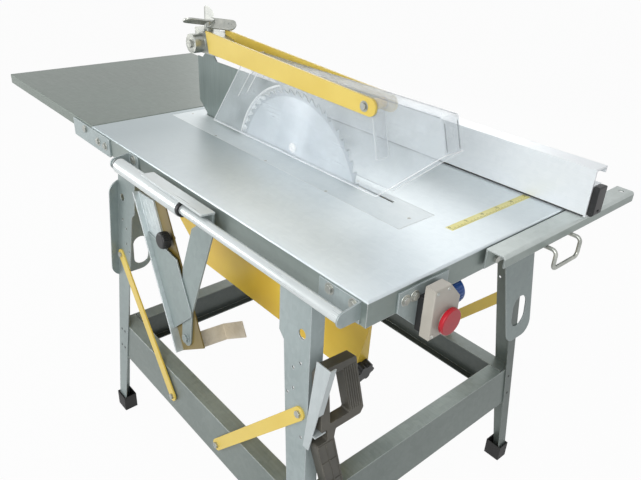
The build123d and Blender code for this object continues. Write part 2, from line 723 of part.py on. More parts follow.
def stand_parts():
    """Legs, feet, rails, braces, carry plates and their bolts."""
    leg = make_leg()
    foot = make_foot()
    left_rail = make_left_rail()
    front_rail = make_front_rail()
    brace = make_brace()
    front_sizes = (FRONT_PLATE_Z, FRONT_PLATE_LOW, FRONT_PLATE_TOP, FRONT_HAND_HOLE, FRONT_HAND_WIDTH)
    front_piece = make_carry_plate(*front_sizes)
    rear_sizes = (REAR_PLATE_Z, REAR_PLATE_LOW, REAR_PLATE_TOP, REAR_HAND_HOLE, REAR_HAND_WIDTH)
    rear_piece = make_carry_plate(*rear_sizes)
    corners = lambda piece: [piece, to_right(piece), to_rear(piece), to_rear(to_right(piece))]
    legs = corners(leg)
    return {
        "leg_front_left": legs[0],
        "leg_front_right": legs[1],
        "leg_rear_left": legs[2],
        "leg_rear_right": legs[3],
        "feet": group(corners(foot)),
        "rail_left": left_rail,
        "rail_right": to_right(left_rail),
        "rail_front": front_rail,
        "rail_rear": to_rear(front_rail),
        "side_braces": group(corners(brace)),
        "carry_plates": group([to_right(front_piece), to_rear(rear_piece)]),
    }


# Crosscut carriage


def tube_bracket_bolts():
    """Bolt places of the tube brackets along the skirt."""
    front = (TUBE_Y[0] + BRACKET_LENGTH[0] * 0.12, TUBE_Y[0] + BRACKET_LENGTH[0] * 0.72)
    return front + (TUBE_Y[1] - BRACKET_LENGTH[1] / 2,)


def make_tube_brackets():
    """Bent brackets that carry the tube's ends on the table's left skirt."""
    brackets = []
    sheet = BRACKET_SHEET
    ends = ((TUBE_Y[0] - sheet, TUBE_Y[0], TUBE_Y[0] + BRACKET_LENGTH[0]),
            (TUBE_Y[1], TUBE_Y[1] + sheet, TUBE_Y[1] - BRACKET_LENGTH[1]))
    for cap_low, cap_high, far in ends:
        y = (min(cap_low, far), max(cap_high, far))
        web = block((-sheet, 0), y, BRACKET_Z)
        cap_face = disc_at((TUBE_X, TUBE_Z), BRACKET_CAP_RADIUS)
        cap_face += outline([
            (TUBE_X, TUBE_Z - BRACKET_CAP_RADIUS),
            (-sheet, TUBE_Z - BRACKET_CAP_RADIUS),
            (-sheet, BRACKET_Z[1]),
            (TUBE_X, TUBE_Z + BRACKET_CAP_RADIUS),
        ])
        bracket = web + front_plate(cap_face, (cap_low, cap_high))
        for bolt_y in tube_bracket_bolts():
            start = (-2 * sheet, bolt_y, BRACKET_BOLT_Z)
            bracket -= rod(start, (TABLE_SHEET, bolt_y, BRACKET_BOLT_Z), BOLT_RADIUS + HOLE_FIT)
        brackets.append(bracket)
    return group(brackets)


def make_guide_tube():
    """Round tube between the brackets."""
    tube = rod((TUBE_X, TUBE_Y[0], TUBE_Z), (TUBE_X, TUBE_Y[1], TUBE_Z), TUBE_RADIUS)
    return tube - rod((TUBE_X, TUBE_Y[0], TUBE_Z), (TUBE_X, TUBE_Y[1], TUBE_Z), TUBE_RADIUS - TUBE_WALL)


def hang(piece):
    """Turn a carriage piece about the tube to the angle at which it hangs."""
    axis = Axis((TUBE_X, 0, TUBE_Z), (0, 1, 0))
    return piece.rotate(axis, CARRIAGE_TILT)


def hanging(points):
    """Face in (y, z) from points given as (y, depth below the tube axis)."""
    return outline([(y, TUBE_Z - depth) for y, depth in points])


def hang_plate(face, side):
    """Plate between two distances inwards of the tube axis, before it is hung."""
    return side_plate(face, (TUBE_X + side[0], TUBE_X + side[1]))


def bar_point(along, across):
    """Place in the hanging plane from a distance along the mitre bar and one towards its rear edge."""
    direction = Vector(BAR_ALONG[0], BAR_ALONG[1]).normalized()
    rear = Vector(-direction.Y, direction.X)
    spot = Vector(*PIVOT) + direction * along + rear * across
    return (spot.X, spot.Y)


ARM_X = (ARM_SIDE, ARM_SIDE + ARM_SHEET)
BAR_X = (ARM_X[1] + BAR_GAP, ARM_X[1] + BAR_GAP + BAR_SHEET)
FLANGE_X = (BAR_X[0] - FENCE_FLANGE_SHEET, BAR_X[0])
MITRE_PLATE_X = (FLANGE_X[0] - MITRE_PLATE_SHEET, FLANGE_X[0])
BAR_REAR = BAR_WIDTH - BAR_FRONT


def make_sleeve():
    """Sleeve that turns on the bushes, with the strap welded along its top."""
    ends = (SLEEVE_Y[0] + BUSH_FLANGE, SLEEVE_Y[1] - BUSH_FLANGE)
    sleeve = rod((TUBE_X, ends[0], TUBE_Z), (TUBE_X, ends[1], TUBE_Z), SLEEVE_RADIUS)
    strap_low = TUBE_Z + SLEEVE_RADIUS - STRAP_SINK
    strap_x = (TUBE_X + STRAP_SIDE[0], TUBE_X + STRAP_SIDE[1])
    sleeve += block(strap_x, STRAP_Y, (strap_low, strap_low + STRAP_SHEET))
    return hang(sleeve - rod((TUBE_X, ends[0], TUBE_Z), (TUBE_X, ends[1], TUBE_Z), SLEEVE_BORE))


def make_bushes():
    """Plain bushes at the sleeve's two ends, running on the tube."""
    bushes = []
    bore = TUBE_RADIUS + RUN_FIT
    for outer, way in ((SLEEVE_Y[0], 1), (SLEEVE_Y[1], -1)):
        shoulder = outer + way * (BUSH_FLANGE - LIE_GAP)
        inner = shoulder + way * BUSH_SPIGOT
        bush = rod((TUBE_X, outer, TUBE_Z), (TUBE_X, shoulder, TUBE_Z), SLEEVE_RADIUS - STRAP_SINK - FIT)
        bush += rod((TUBE_X, shoulder, TUBE_Z), (TUBE_X, inner, TUBE_Z), SLEEVE_BORE - RUN_FIT)
        bushes.append(bush - rod((TUBE_X, outer, TUBE_Z), (TUBE_X, inner, TUBE_Z), bore))
    return group(bushes)


def make_carriage_arm():
    """Arm that hangs from the strap beside the tube, with the mitre pivot pin at its lower end."""
    top = STRAP_SINK - SLEEVE_RADIUS
    points = [(ARM_TOP_Y[1], top), (ARM_TOP_Y[0], top), (ARM_TOP_Y[0], ARM_SHOULDER), ARM_KNEE]
    points += [(PIVOT[0] - ARM_END_RADIUS, PIVOT[1]), (PIVOT[0] + ARM_END_RADIUS, PIVOT[1])]
    face = hanging(points + list(ARM_BACK))
    face += disc_at((PIVOT[0], TUBE_Z - PIVOT[1]), ARM_END_RADIUS)
    arm = hang_plate(face, ARM_X)
    y, z = PIVOT[0], TUBE_Z - PIVOT[1]
    far = TUBE_X + BAR_X[1] + LIE_GAP
    arm += rod((TUBE_X + ARM_X[0], y, z), (far + HEX_HEAD, y, z), PIVOT_RADIUS)
    arm += rod((far, y, z), (far + HEX_HEAD, y, z), PIVOT_HEAD_RADIUS)
    near = TUBE_X + ARM_X[0]
    return hang(arm + hexagon((near - HEX_HEAD, y, z), (near, y, z), HEX_RADIUS))


def make_mitre_bar():
    """Yellow flat bar that turns on the arm's pivot and carries the mitre fence."""
    corners = [(-BAR_BELOW_PIVOT, BAR_REAR), (BAR_ABOVE_PIVOT, BAR_REAR),
               (BAR_ABOVE_PIVOT - BAR_FRONT, -BAR_FRONT), (-BAR_BELOW_PIVOT, -BAR_FRONT)]
    face = hanging([bar_point(*corner) for corner in corners])
    face -= disc_at((PIVOT[0], TUBE_Z - PIVOT[1]), PIVOT_RADIUS + RUN_FIT)
    stud = (MITRE_KNOB_AT[0], TUBE_Z - MITRE_KNOB_AT[1])
    face -= disc_at(stud, MITRE_STUD_RADIUS + RUN_FIT)
    return hang(hang_plate(face, BAR_X))


def make_mitre_fence():
    """Angle profile along the bar's rear edge."""
    low, high = -BAR_BELOW_PIVOT, BAR_ABOVE_PIVOT
    edge = BAR_REAR
    inner = edge - FENCE_FLANGE
    start = FENCE_FLANGE_START
    inner_high = high - FENCE_FLANGE * BAR_FRONT / BAR_WIDTH
    corners = [(start, edge), (high, edge), (inner_high, inner), (start, inner)]
    flange = hanging([bar_point(*corner) for corner in corners])
    lip_edge = edge - FENCE_LIP_SHEET
    lip_corners = [(low, edge), (high, edge), (high, lip_edge), (low, lip_edge)]
    lip = hanging([bar_point(*corner) for corner in lip_corners])
    profile = hang_plate(flange, FLANGE_X)
    return hang(profile + hang_plate(lip, (BAR_X[0] - FENCE_LIP, BAR_X[0])))


def make_mitre_plate():
    """Cover plate on the fence profile, in front of the arm."""
    rear = BAR_REAR - FENCE_LIP_SHEET - FIT
    points = [bar_point(along, rear) for along in MITRE_PLATE_REAR]
    points += [bar_point(along, across) for across, along in MITRE_PLATE_FRONT]
    return hang(hang_plate(hanging(points), MITRE_PLATE_X))


def make_mitre_knob():
    """Round knob whose stud clamps the bar."""
    y, z = MITRE_KNOB_AT[0], TUBE_Z - MITRE_KNOB_AT[1]
    root = TUBE_X + MITRE_PLATE_X[0]
    knob = rod((root - MITRE_KNOB_HEIGHT, y, z), (root, y, z), MITRE_KNOB_RADIUS)
    knob = fillet(knob.edges().filter_by(GeomType.CIRCLE).sort_by(Axis.X)[0], MITRE_STUD_RADIUS)
    return hang(knob + rod((root, y, z), (TUBE_X + BAR_X[1] + HEX_HEAD, y, z), MITRE_STUD_RADIUS))


def make_push_handle():
    """Bent strip at the foot of the mitre bar, used to push the carriage."""
    root = BAR_X[1] + PUSH_SHEET / 2
    strip = offset_strip([(across, root + side) for across, side in PUSH_PATH], PUSH_SHEET)
    along = Vector(0, BAR_ALONG[0], -BAR_ALONG[1]).normalized()
    rear = Vector(0, -BAR_ALONG[1], -BAR_ALONG[0]).normalized()
    y, z = PIVOT[0], TUBE_Z - PIVOT[1]
    origin = Vector(TUBE_X, y, z) + along * PUSH_ALONG[1]
    plane = Plane(origin=origin, x_dir=rear, z_dir=-along)
    piece = extrude(plane * strip, amount=PUSH_ALONG[1] - PUSH_ALONG[0])
    start = TUBE_X + BAR_X[1]
    return hang(piece - rod((start, y, z), (start + 2 * PUSH_SHEET, y, z), PIVOT_HEAD_RADIUS + FIT))


def offset_strip(points, thickness):
    """Face of a thin strip that follows a run of straight lines."""
    half = thickness / 2
    left, right = [], []
    for index, point in enumerate(points):
        here = Vector(*point)
        before = here - Vector(*points[index - 1]) if index else None
        after = Vector(*points[index + 1]) - here if index + 1 < len(points) else None
        first = (before or after).normalized()
        second = (after or before).normalized()
        middle = Vector(-first.Y - second.Y, first.X + second.X).normalized()
        reach = half / middle.dot(Vector(-first.Y, first.X))
        left.append(tuple(here + middle * reach)[:2])
        right.append(tuple(here - middle * reach)[:2])
    return outline(left + right[::-1])


def carriage_parts():
    """Guide tube and everything that rides on it."""
    return {
        "guide_tube": make_guide_tube(),
        "tube_brackets": make_tube_brackets(),
        "sleeve_bushes": make_bushes(),
        "carriage_sleeve": make_sleeve(),
        "carriage_arm": make_carriage_arm(),
        "mitre_bar": make_mitre_bar(),
        "mitre_fence": make_mitre_fence(),
        "mitre_plate": make_mitre_plate(),
        "mitre_knob": make_mitre_knob(),
        "push_handle": make_push_handle(),
    }


# Rip fence


def make_fence_rail():
    """Bent rail flush with the table, with a rounded lip in front and a web behind."""
    top, sheet = TABLE_HEIGHT, RAIL_BAR_SHEET
    front, back = RAIL_BAR_Y
    body = block(RAIL_BAR_X, RAIL_BAR_Y, (top - RAIL_BAR_BACK, top))
    lip_edge = body.edges().filter_by(Axis.X).sort_by(Axis.Z)[-2:].sort_by(Axis.Y)[0]
    body = fillet(lip_edge, RAIL_BAR_BEND)
    hollow = block(RAIL_BAR_X, (front + sheet, back - sheet), (top - RAIL_BAR_BACK, top - sheet))
    hollow_edge = hollow.edges().filter_by(Axis.X).sort_by(Axis.Z)[-2:].sort_by(Axis.Y)[0]
    hollow = fillet(hollow_edge, RAIL_BAR_BEND - sheet)
    below_lip = block(RAIL_BAR_X, (front, front + sheet), (top - RAIL_BAR_BACK, top - RAIL_BAR_LIP))
    past_table = (TABLE_WIDTH, RAIL_BAR_X[1])
    past_web = block(past_table, (back - sheet, back), (top - RAIL_BAR_BACK, top - RAIL_BAR_LIP))
    rail = body - hollow - below_lip - past_web
    end = (RAIL_BAR_X[1] - RAIL_BAR_WIDTH / 2, (front + back) / 2)
    rail -= rod((*end, top - 2 * sheet), (*end, top), RAIL_BAR_HOLE)
    for x in RAIL_SPACER_X:
        z = top - RAIL_SPACER_DROP
        rail -= rod((x, back - sheet, z), (x, back, z), BOLT_RADIUS + HOLE_FIT)
    for x in HOOK_X:
        z = hook_height()
        rail -= rod((x, back - sheet, z), (x, back, z), HOOK_RADIUS + HOLE_FIT)
    return rail


def hook_height():
    """Height of the hook's two arms, just under the rail's lip."""
    return TABLE_HEIGHT - RAIL_BAR_LIP - HOOK_RADIUS - 2 * FIT


def make_cable_hook():
    """Bent wire loop that hangs in front of the rail."""
    back = RAIL_BAR_Y[1]
    front = RAIL_BAR_Y[0] - HOOK_REACH + RAIL_BAR_SHEET
    z = hook_height()
    path = FilletPolyline(
        (HOOK_X[0], back, z),
        (HOOK_X[0], front, z),
        (HOOK_X[0], front, z - HOOK_DROP),
        (HOOK_X[1], front, z - HOOK_DROP),
        (HOOK_X[1], front, z),
        (HOOK_X[1], back, z),
        radius=HOOK_BEND,
    )
    section = Plane(origin=(HOOK_X[0], back, z), z_dir=(0, -1, 0)) * Circle(HOOK_RADIUS)
    return sweep(section, path=path)


def make_fence_profile():
    """Aluminium fence: tall face, top flange with a lip, and a box along its foot."""
    low, high = FENCE_LOW, FENCE_LOW + FENCE_HEIGHT
    box_top = low + FENCE_BOX_HEIGHT
    right = FENCE_X + FENCE_TOP_FLANGE
    rectangle = lambda x, z: outline([(x[0], z[0]), (x[1], z[0]), (x[1], z[1]), (x[0], z[1])])
    wall = FENCE_BOX_WALL
    face = rectangle((FENCE_X, FENCE_BOX_X[0]), (low, high))
    face += rectangle((FENCE_X, right), (high - FENCE_WALL, high))
    face += rectangle((right - FENCE_WALL, right), (high - FENCE_WALL - FENCE_TOP_LIP, high))
    face += rectangle((FENCE_X, FENCE_BOX_X[1]), (low, box_top))
    face -= rectangle((FENCE_BOX_X[0], FENCE_BOX_X[1] - wall), (low + wall, box_top - wall))
    fence = front_plate(face, (RAIL_BAR_Y[0], FENCE_END))
    middle = shoe_middle()
    cut_x = (middle - TONGUE_WIDTH / 2 - FIT, middle + TONGUE_WIDTH / 2 + FIT)
    return fence - block(cut_x, (-RAIL_BAR_GAP, 0), (low, low + wall))


def shoe_middle():
    """Middle of the fence's box, across."""
    return (FENCE_BOX_X[0] + FENCE_BOX_X[1] - FENCE_BOX_WALL) / 2


def make_fence_shoe():
    """Shoe in the fence's box: tongue behind the rail, ear and pin for the clamp lever."""
    wall = FENCE_BOX_WALL
    x = (FENCE_BOX_X[0] + LIE_GAP, FENCE_BOX_X[1] - wall - LIE_GAP)
    z = (FENCE_LOW + wall, FENCE_LOW + FENCE_BOX_HEIGHT - wall - LIE_GAP)
    front = RAIL_BAR_Y[0] + FIT
    shoe = block(x, (front, front + SHOE_LENGTH), z)
    middle = shoe_middle()
    tongue_y = (-RAIL_BAR_GAP / 2 - TONGUE_THICK / 2, -RAIL_BAR_GAP / 2 + TONGUE_THICK / 2)
    tongue_x = (middle - TONGUE_WIDTH / 2, middle + TONGUE_WIDTH / 2)
    shoe += block(tongue_x, tongue_y, (TABLE_HEIGHT - TONGUE_DROP, z[0]))
    y, height = LEVER_PIN
    ear_x = (middle - LEVER_EAR / 2, middle + LEVER_EAR / 2)
    ear_radius = LEVER_THICK / 2 - FIT
    ear = rod((ear_x[0], y, height), (ear_x[1], y, height), ear_radius)
    ear += block(ear_x, (y, front), (height - ear_radius, height + ear_radius))
    pin = rod((FENCE_BOX_X[0], y, height), (FENCE_BOX_X[1], y, height), LEVER_PIN_RADIUS)
    return shoe + ear + pin


def make_fence_lever():
    """Black clamp lever across the front of the fence's box."""
    y, height = LEVER_PIN
    x = FENCE_BOX_X
    half = LEVER_THICK / 2
    lever = block(x, (y - half, y + half), (height, height + LEVER_HEIGHT - half))
    top_edges = lever.edges().group_by(Axis.Z)[-1]
    lever = fillet(top_edges, FENCE_BOX_WALL)
    lever += rod((x[0], y, height), (x[1], y, height), half)
    middle = shoe_middle()
    slot_x = (middle - LEVER_EAR / 2 - FIT, middle + LEVER_EAR / 2 + FIT)
    lever -= block(slot_x, (y - half, y + half), (height - half, height + half + FIT))
    return lever - rod((x[0], y, height), (x[1], y, height), LEVER_PIN_RADIUS + RUN_FIT)


def fence_parts():
    """Fence rail, cable hook, and the fence that slides along them."""
    return {
        "fence_rail": make_fence_rail(),
        "cable_hook": make_cable_hook(),
        "fence_profile": make_fence_profile(),
        "fence_shoe": make_fence_shoe(),
        "fence_lever": make_fence_lever(),
    }


# Rear extension


def make_extension():
    """Hinged rear table: thin tray with a shallow skirt, notched at the hinge end."""
    x = (FIT, TABLE_WIDTH - FIT)
    y = (EXT_FRONT, EXT_FRONT + EXT_LENGTH)
    low = TABLE_HEIGHT - EXT_SKIRT
    tray = block(x, y, (low, TABLE_HEIGHT))
    tray = fillet(tray.edges().group_by(Axis.Z)[-1], EDGE_RADIUS - 1)
    sheet = EXT_SHEET
    inside = block((x[0] + sheet, x[1] - sheet), (y[0] + sheet, y[1] - sheet), (low, TABLE_HEIGHT - sheet))
    tray -= inside
    tray -= block(x, (y[0], y[0] + EXT_NOTCH[0]), (low, low + EXT_NOTCH[1]))
    pin_y, pin_z = EXT_PIN
    return tray - rod((0, pin_y, pin_z), (TABLE_WIDTH, pin_y, pin_z), EXT_PIN_RADIUS + RUN_FIT)


def make_extension_brackets():
    """Plates on both sides that carry the extension behind the table."""
    plate = block((-EXT_BRACKET_SHEET, 0), EXT_BRACKET_Y, EXT_BRACKET_Z)
    plate = fillet(plate.edges().filter_by(Axis.X), EDGE_RADIUS)
    for y, z, radius in [(*EXT_PIN, EXT_PIN_RADIUS)] + [(y, ext_bolt_z(), BOLT_RADIUS) for y in EXT_BOLT_Y]:
        plate -= rod((-EXT_BRACKET_SHEET, y, z), (0, y, z), radius + HOLE_FIT)
    return group([plate, to_right(plate)])


def ext_bolt_z():
    """Height of the bolts that hold the extension brackets."""
    return (EXT_BRACKET_Z[0] + EXT_BRACKET_Z[1]) / 2


def make_extension_pins():
    """Headed hinge pins through bracket and extension skirt."""
    y, z = EXT_PIN
    inner = FIT + EXT_SHEET + LIE_GAP
    pin = rod((-EXT_BRACKET_SHEET, y, z), (inner + BOLT_HEAD, y, z), EXT_PIN_RADIUS)
    pin += hexagon((-EXT_BRACKET_SHEET - BOLT_HEAD, y, z), (-EXT_BRACKET_SHEET, y, z), HEX_RADIUS)
    pin += rod((inner, y, z), (inner + BOLT_HEAD, y, z), HEX_RADIUS)
    return [pin, to_right(pin)]


# Saw unit


def make_blade():
    """Toothed disc with hooked teeth, from one outline."""
    points = []
    pitch = 2 * math.pi / BLADE_TEETH
    root = BLADE_RADIUS - TOOTH_DEPTH
    tip = BLADE_RADIUS
    tooth = ((0.0, tip), (0.16, tip - 1.5), (0.55, root), (0.86, root - 1.5), (0.93, root + 2.5))
    for index in range(BLADE_TEETH):
        for share, radius in tooth:
            angle = (index + share) * pitch
            points.append((BLADE_Y + radius * math.cos(angle), BLADE_Z + radius * math.sin(angle)))
    face = outline(points) - disc_at((BLADE_Y, BLADE_Z), SHAFT_RADIUS + RUN_FIT)
    return side_plate(face, (BLADE_X - BLADE_THICK / 2, BLADE_X + BLADE_THICK / 2))


def on_axis(x, radius):
    """Round bar on the saw's axis between two x values."""
    return rod((x[0], BLADE_Y, BLADE_Z), (x[1], BLADE_Y, BLADE_Z), radius)


def make_flanges():
    """Clamping flanges on both sides of the blade."""
    half = BLADE_THICK / 2
    flanges = []
    left = (BLADE_X - half - FLANGE_THICK, BLADE_X - half)
    for x in (left, (BLADE_X + half, BLADE_X + half + FLANGE_THICK)):
        flanges.append(on_axis(x, FLANGE_RADIUS) - on_axis(x, SHAFT_RADIUS + RUN_FIT))
    return group(flanges)


def nut_span():
    """Place of the arbor nut on the shaft."""
    right = BLADE_X - BLADE_THICK / 2 - FLANGE_THICK
    return (right - NUT_THICK, right)


def make_nut():
    """Hexagon nut that clamps the blade."""
    x = nut_span()
    nut = hexagon((x[0], BLADE_Y, BLADE_Z), (x[1], BLADE_Y, BLADE_Z), NUT_RADIUS)
    return nut - on_axis(x, SHAFT_RADIUS + RUN_FIT)


def fan_span():
    """Place of the cooling fan behind the motor's rear shield."""
    start = HOUSING_X[1] + SHIELD_THICK / 4
    return (start, start + FAN_WIDTH)


def core_span():
    """Place of the rotor and stator cores inside the housing."""
    middle = (HOUSING_X[0] + HOUSING_X[1]) / 2
    return (middle - CORE_LENGTH / 2, middle + CORE_LENGTH / 2)


def make_shaft():
    """Arbor shaft with the rotor core on it."""
    shaft = on_axis((nut_span()[0] - SHAFT_END, fan_span()[1]), SHAFT_RADIUS)
    return shaft + on_axis(core_span(), ROTOR_RADIUS)


def bearing_spans():
    """Places of the two bearings in the shields."""
    front = HOUSING_X[0] + SHIELD_THICK - BEARING_WIDTH
    rear = HOUSING_X[1] - SHIELD_THICK
    return ((front, front + BEARING_WIDTH), (rear, rear + BEARING_WIDTH))


def make_bearings():
    """Bearing rings that the shaft runs in."""
    rings = []
    for x in bearing_spans():
        rings.append(on_axis(x, BEARING_RADIUS - LIE_GAP) - on_axis(x, SHAFT_RADIUS + RUN_FIT))
    return group(rings)


def make_housing():
    """Finned motor housing with both end shields."""
    housing = on_axis(HOUSING_X, HOUSING_RADIUS)
    fin_x = (HOUSING_X[0] + SHIELD_THICK, HOUSING_X[1] - SHIELD_THICK)
    fin_z = (HOUSING_RADIUS - FIN_HEIGHT, HOUSING_RADIUS + FIN_HEIGHT)
    fin = block(fin_x, (-FIN_THICK / 2, FIN_THICK / 2), fin_z)
    for index in range(FIN_COUNT):
        turned = fin.rotate(Axis.X, 360 / FIN_COUNT * (index + 0.5))
        housing += Pos(0, BLADE_Y, BLADE_Z) * turned
    cavity = (HOUSING_X[0] + SHIELD_THICK, HOUSING_X[1] - SHIELD_THICK)
    housing -= on_axis(cavity, HOUSING_RADIUS - HOUSING_WALL)
    for x in bearing_spans():
        housing -= on_axis(x, BEARING_RADIUS)
    return housing - on_axis(HOUSING_X, SHAFT_RADIUS + 2 * FIT)


def make_stator():
    """Stator core inside the housing."""
    outer = HOUSING_RADIUS - HOUSING_WALL - LIE_GAP
    return on_axis(core_span(), outer) - on_axis(core_span(), STATOR_BORE)


def make_fan():
    """Cooling fan: hub, back disc and straight vanes."""
    x = fan_span()
    disc = (x[0], x[0] + COWL_WALL)
    fan = on_axis(x, SHAFT_RADIUS + FAN_WIDTH / 2) + on_axis(disc, FAN_RADIUS)
    reach = (SHAFT_RADIUS + COWL_WALL, FAN_RADIUS)
    vane = block((x[0], x[1]), (-COWL_WALL / 2, COWL_WALL / 2), reach)
    for index in range(FAN_VANES):
        fan += Pos(0, BLADE_Y, BLADE_Z) * vane.rotate(Axis.X, 360 / FAN_VANES * index)
    return fan - on_axis(x, SHAFT_RADIUS)


def make_cowl():
    """Fan cowl with an end grille of slots."""
    x = (HOUSING_X[1], HOUSING_X[1] + COWL_LENGTH)
    cowl = on_axis(x, HOUSING_RADIUS) - on_axis((x[0], x[1] - COWL_WALL), HOUSING_RADIUS - COWL_WALL)
    slot_z = (HOUSING_RADIUS / 4, HOUSING_RADIUS * 0.8)
    slot = block((x[1] - COWL_WALL, x[1]), (-FIN_THICK, FIN_THICK), slot_z)
    for index in range(2 * FAN_VANES):
        cowl -= Pos(0, BLADE_Y, BLADE_Z) * slot.rotate(Axis.X, 180 / FAN_VANES * index)
    return cowl


def make_hangers():
    """Two yokes that hang the motor under the table."""
    hangers = []
    quarter = CORE_LENGTH / 2
    middle = (HOUSING_X[0] + HOUSING_X[1]) / 2
    for centre in (middle - quarter, middle + quarter):
        x = (centre - HANGER_THICK / 2, centre + HANGER_THICK / 2)
        yoke = block(x, (BLADE_Y - HANGER_HALF, BLADE_Y + HANGER_HALF), (TOP_UNDER - HANGER_DROP, TOP_UNDER))
        hangers.append(yoke - on_axis(x, HOUSING_RADIUS + FIN_HEIGHT + LIE_GAP))
    return group(hangers)


def guard_outline():
    """Side outline of the lower guard in (y, z)."""
    return [
        (GUARD_FRONT, LEDGE_LOW),
        (GUARD_FRONT, GUARD_FRONT_KNEE),
        (GUARD_FRONT_TOE, GUARD_BOTTOM),
        (GUARD_REAR_TOE, GUARD_BOTTOM),
        (GUARD_REAR, GUARD_REAR_KNEE),
        (GUARD_REAR, LEDGE_LOW),
    ]


def guard_slant(inset):
    """Room in front of the guard's slanting front wall, which goes back to the right."""
    x = (GUARD_X[0] - GUARD_LIP, GUARD_X[1] + GUARD_LIP)
    shift = inset * math.hypot(1.0, GUARD_SLANT)
    start = GUARD_FRONT + shift - 2 * GUARD_SLANT * GUARD_LIP
    end = start + GUARD_SLANT * (x[1] - x[0])
    ahead = GUARD_FRONT - 2 * GUARD_LIP - GUARD_WALL
    corners = [(x[0], ahead), (x[1], ahead), (x[1], end), (x[0], start)]
    return extrude(Plane.XY.offset(GUARD_BOTTOM) * outline(corners), amount=TABLE_HEIGHT - GUARD_BOTTOM)


def make_lower_guard():
    """Yellow sheet trough around the blade, open at the top and carried by the table."""
    wall = GUARD_WALL
    face = outline(guard_outline())
    hollow = offset(face, amount=-wall, kind=Kind.INTERSECTION)
    inside = (GUARD_X[0] + wall, GUARD_X[1] - wall)
    room = side_plate(hollow, inside)
    room += block(inside, (GUARD_FRONT + wall, GUARD_REAR - wall), (SKIRT_LOW, LEDGE_LOW))
    trough = side_plate(face, GUARD_X) - (room - guard_slant(wall))
    right_wall = (GUARD_X[1] - wall, GUARD_X[1])
    trough += block(right_wall, (GUARD_FRONT, GUARD_REAR), (LEDGE_LOW, TOP_UNDER))
    trough -= guard_slant(0)
    trough -= on_axis(right_wall, GUARD_SHAFT_HOLE)
    start, end = lock_knob_line()
    return trough - rod(start - end * (3 * wall), start + end * wall, LOCK_STUD_RADIUS + RUN_FIT)


def lock_knob_line():
    """Point on the guard's sloping front wall and the wall's outward direction."""
    rise = GUARD_FRONT_KNEE - GUARD_BOTTOM
    run = GUARD_FRONT_TOE - GUARD_FRONT
    y = GUARD_FRONT + run * (GUARD_FRONT_KNEE - LOCK_KNOB_Z) / rise
    return Vector(LOCK_KNOB_X, y, LOCK_KNOB_Z), Vector(0, -rise, -run).normalized()


def make_lock_knob():
    """Black star knob on the lower guard's front."""
    place, out = lock_knob_line()
    plane = Plane(origin=place + out * LIE_GAP, x_dir=(1, 0, 0), z_dir=out)
    star = Circle(LOCK_KNOB_RADIUS * 0.78)
    for index in range(LOCK_KNOB_LOBES):
        angle = 2 * math.pi * index / LOCK_KNOB_LOBES
        spot = (LOCK_KNOB_RADIUS * 0.72 * math.cos(angle), LOCK_KNOB_RADIUS * 0.72 * math.sin(angle))
        star += disc_at(spot, LOCK_KNOB_RADIUS * 0.28)
    knob = extrude(plane * star, amount=LOCK_KNOB_HEIGHT)
    inner = place - out * (2 * GUARD_WALL + LIE_GAP)
    knob += rod(inner, place + out * LOCK_KNOB_HEIGHT, LOCK_STUD_RADIUS)
    return knob


def saw_parts():
    """Blade, drive and lower guard."""
    return {
        "saw_blade": make_blade(),
        "blade_flanges": make_flanges(),
        "arbor_nut": make_nut(),
        "arbor_shaft": make_shaft(),
        "motor_bearings": make_bearings(),
        "motor_housing": make_housing(),
        "motor_stator": make_stator(),
        "motor_fan": make_fan(),
        "fan_cowl": make_cowl(),
        "motor_hangers": make_hangers(),
        "lower_guard": make_lower_guard(),
        "guard_lock_knob": make_lock_knob(),
    }


# Upper guard


def make_knife():
    """Riving knife: a plate that follows the blade and carries the guard's hinge."""
    radius = BLADE_RADIUS + KNIFE_GAP
    angles = [math.radians(angle) for angle in KNIFE_ARC]
    middle = sum(angles) / 2
    at = lambda angle: (BLADE_Y + radius * math.cos(angle), BLADE_Z + radius * math.sin(angle))
    start, bend, end = at(angles[0]), at(middle), at(angles[1])
    arc = ThreePointArc(start, bend, end)
    neck = KNIFE_NECK_RADIUS
    rest = Polyline(
        end,
        (end[0] + KNIFE_GAP, KNIFE_TOP),
        (HINGE_AT[0] - neck - 2 * KNIFE_GAP, KNIFE_TOP),
        (HINGE_AT[0] - neck, KNIFE_TOP + 2 * KNIFE_GAP),
        (HINGE_AT[0] - neck, HINGE_AT[1]),
        (HINGE_AT[0] + neck, HINGE_AT[1]),
        (HINGE_AT[0] + neck, KNIFE_TOP + 2 * KNIFE_GAP),
        (HINGE_AT[0] + neck + 2 * KNIFE_GAP, KNIFE_TOP),
        (KNIFE_REAR, KNIFE_TOP),
        (KNIFE_REAR, TABLE_HEIGHT + KNIFE_REAR - KNIFE_SHANK),
        (KNIFE_SHANK, TABLE_HEIGHT + KNIFE_GAP),
        (KNIFE_SHANK, KNIFE_FOOT),
        (start[0] + KNIFE_GAP, KNIFE_FOOT),
        start,
    )
    face = make_face([arc, *rest.edges()])
    face += disc_at(HINGE_AT, neck)
    face -= disc_at(HINGE_AT, HINGE_RADIUS + RUN_FIT)
    face -= disc_at(clamp_bolt(), BOLT_RADIUS + HOLE_FIT)
    return side_plate(face, (BLADE_X - KNIFE_THICK / 2, BLADE_X + KNIFE_THICK / 2))


def clamp_bolt():
    """Place of the bolt through the knife's clamp."""
    return ((CLAMP_Y[0] + CLAMP_Y[1]) / 2, (CLAMP_Z[0] + CLAMP_Z[1]) / 2)


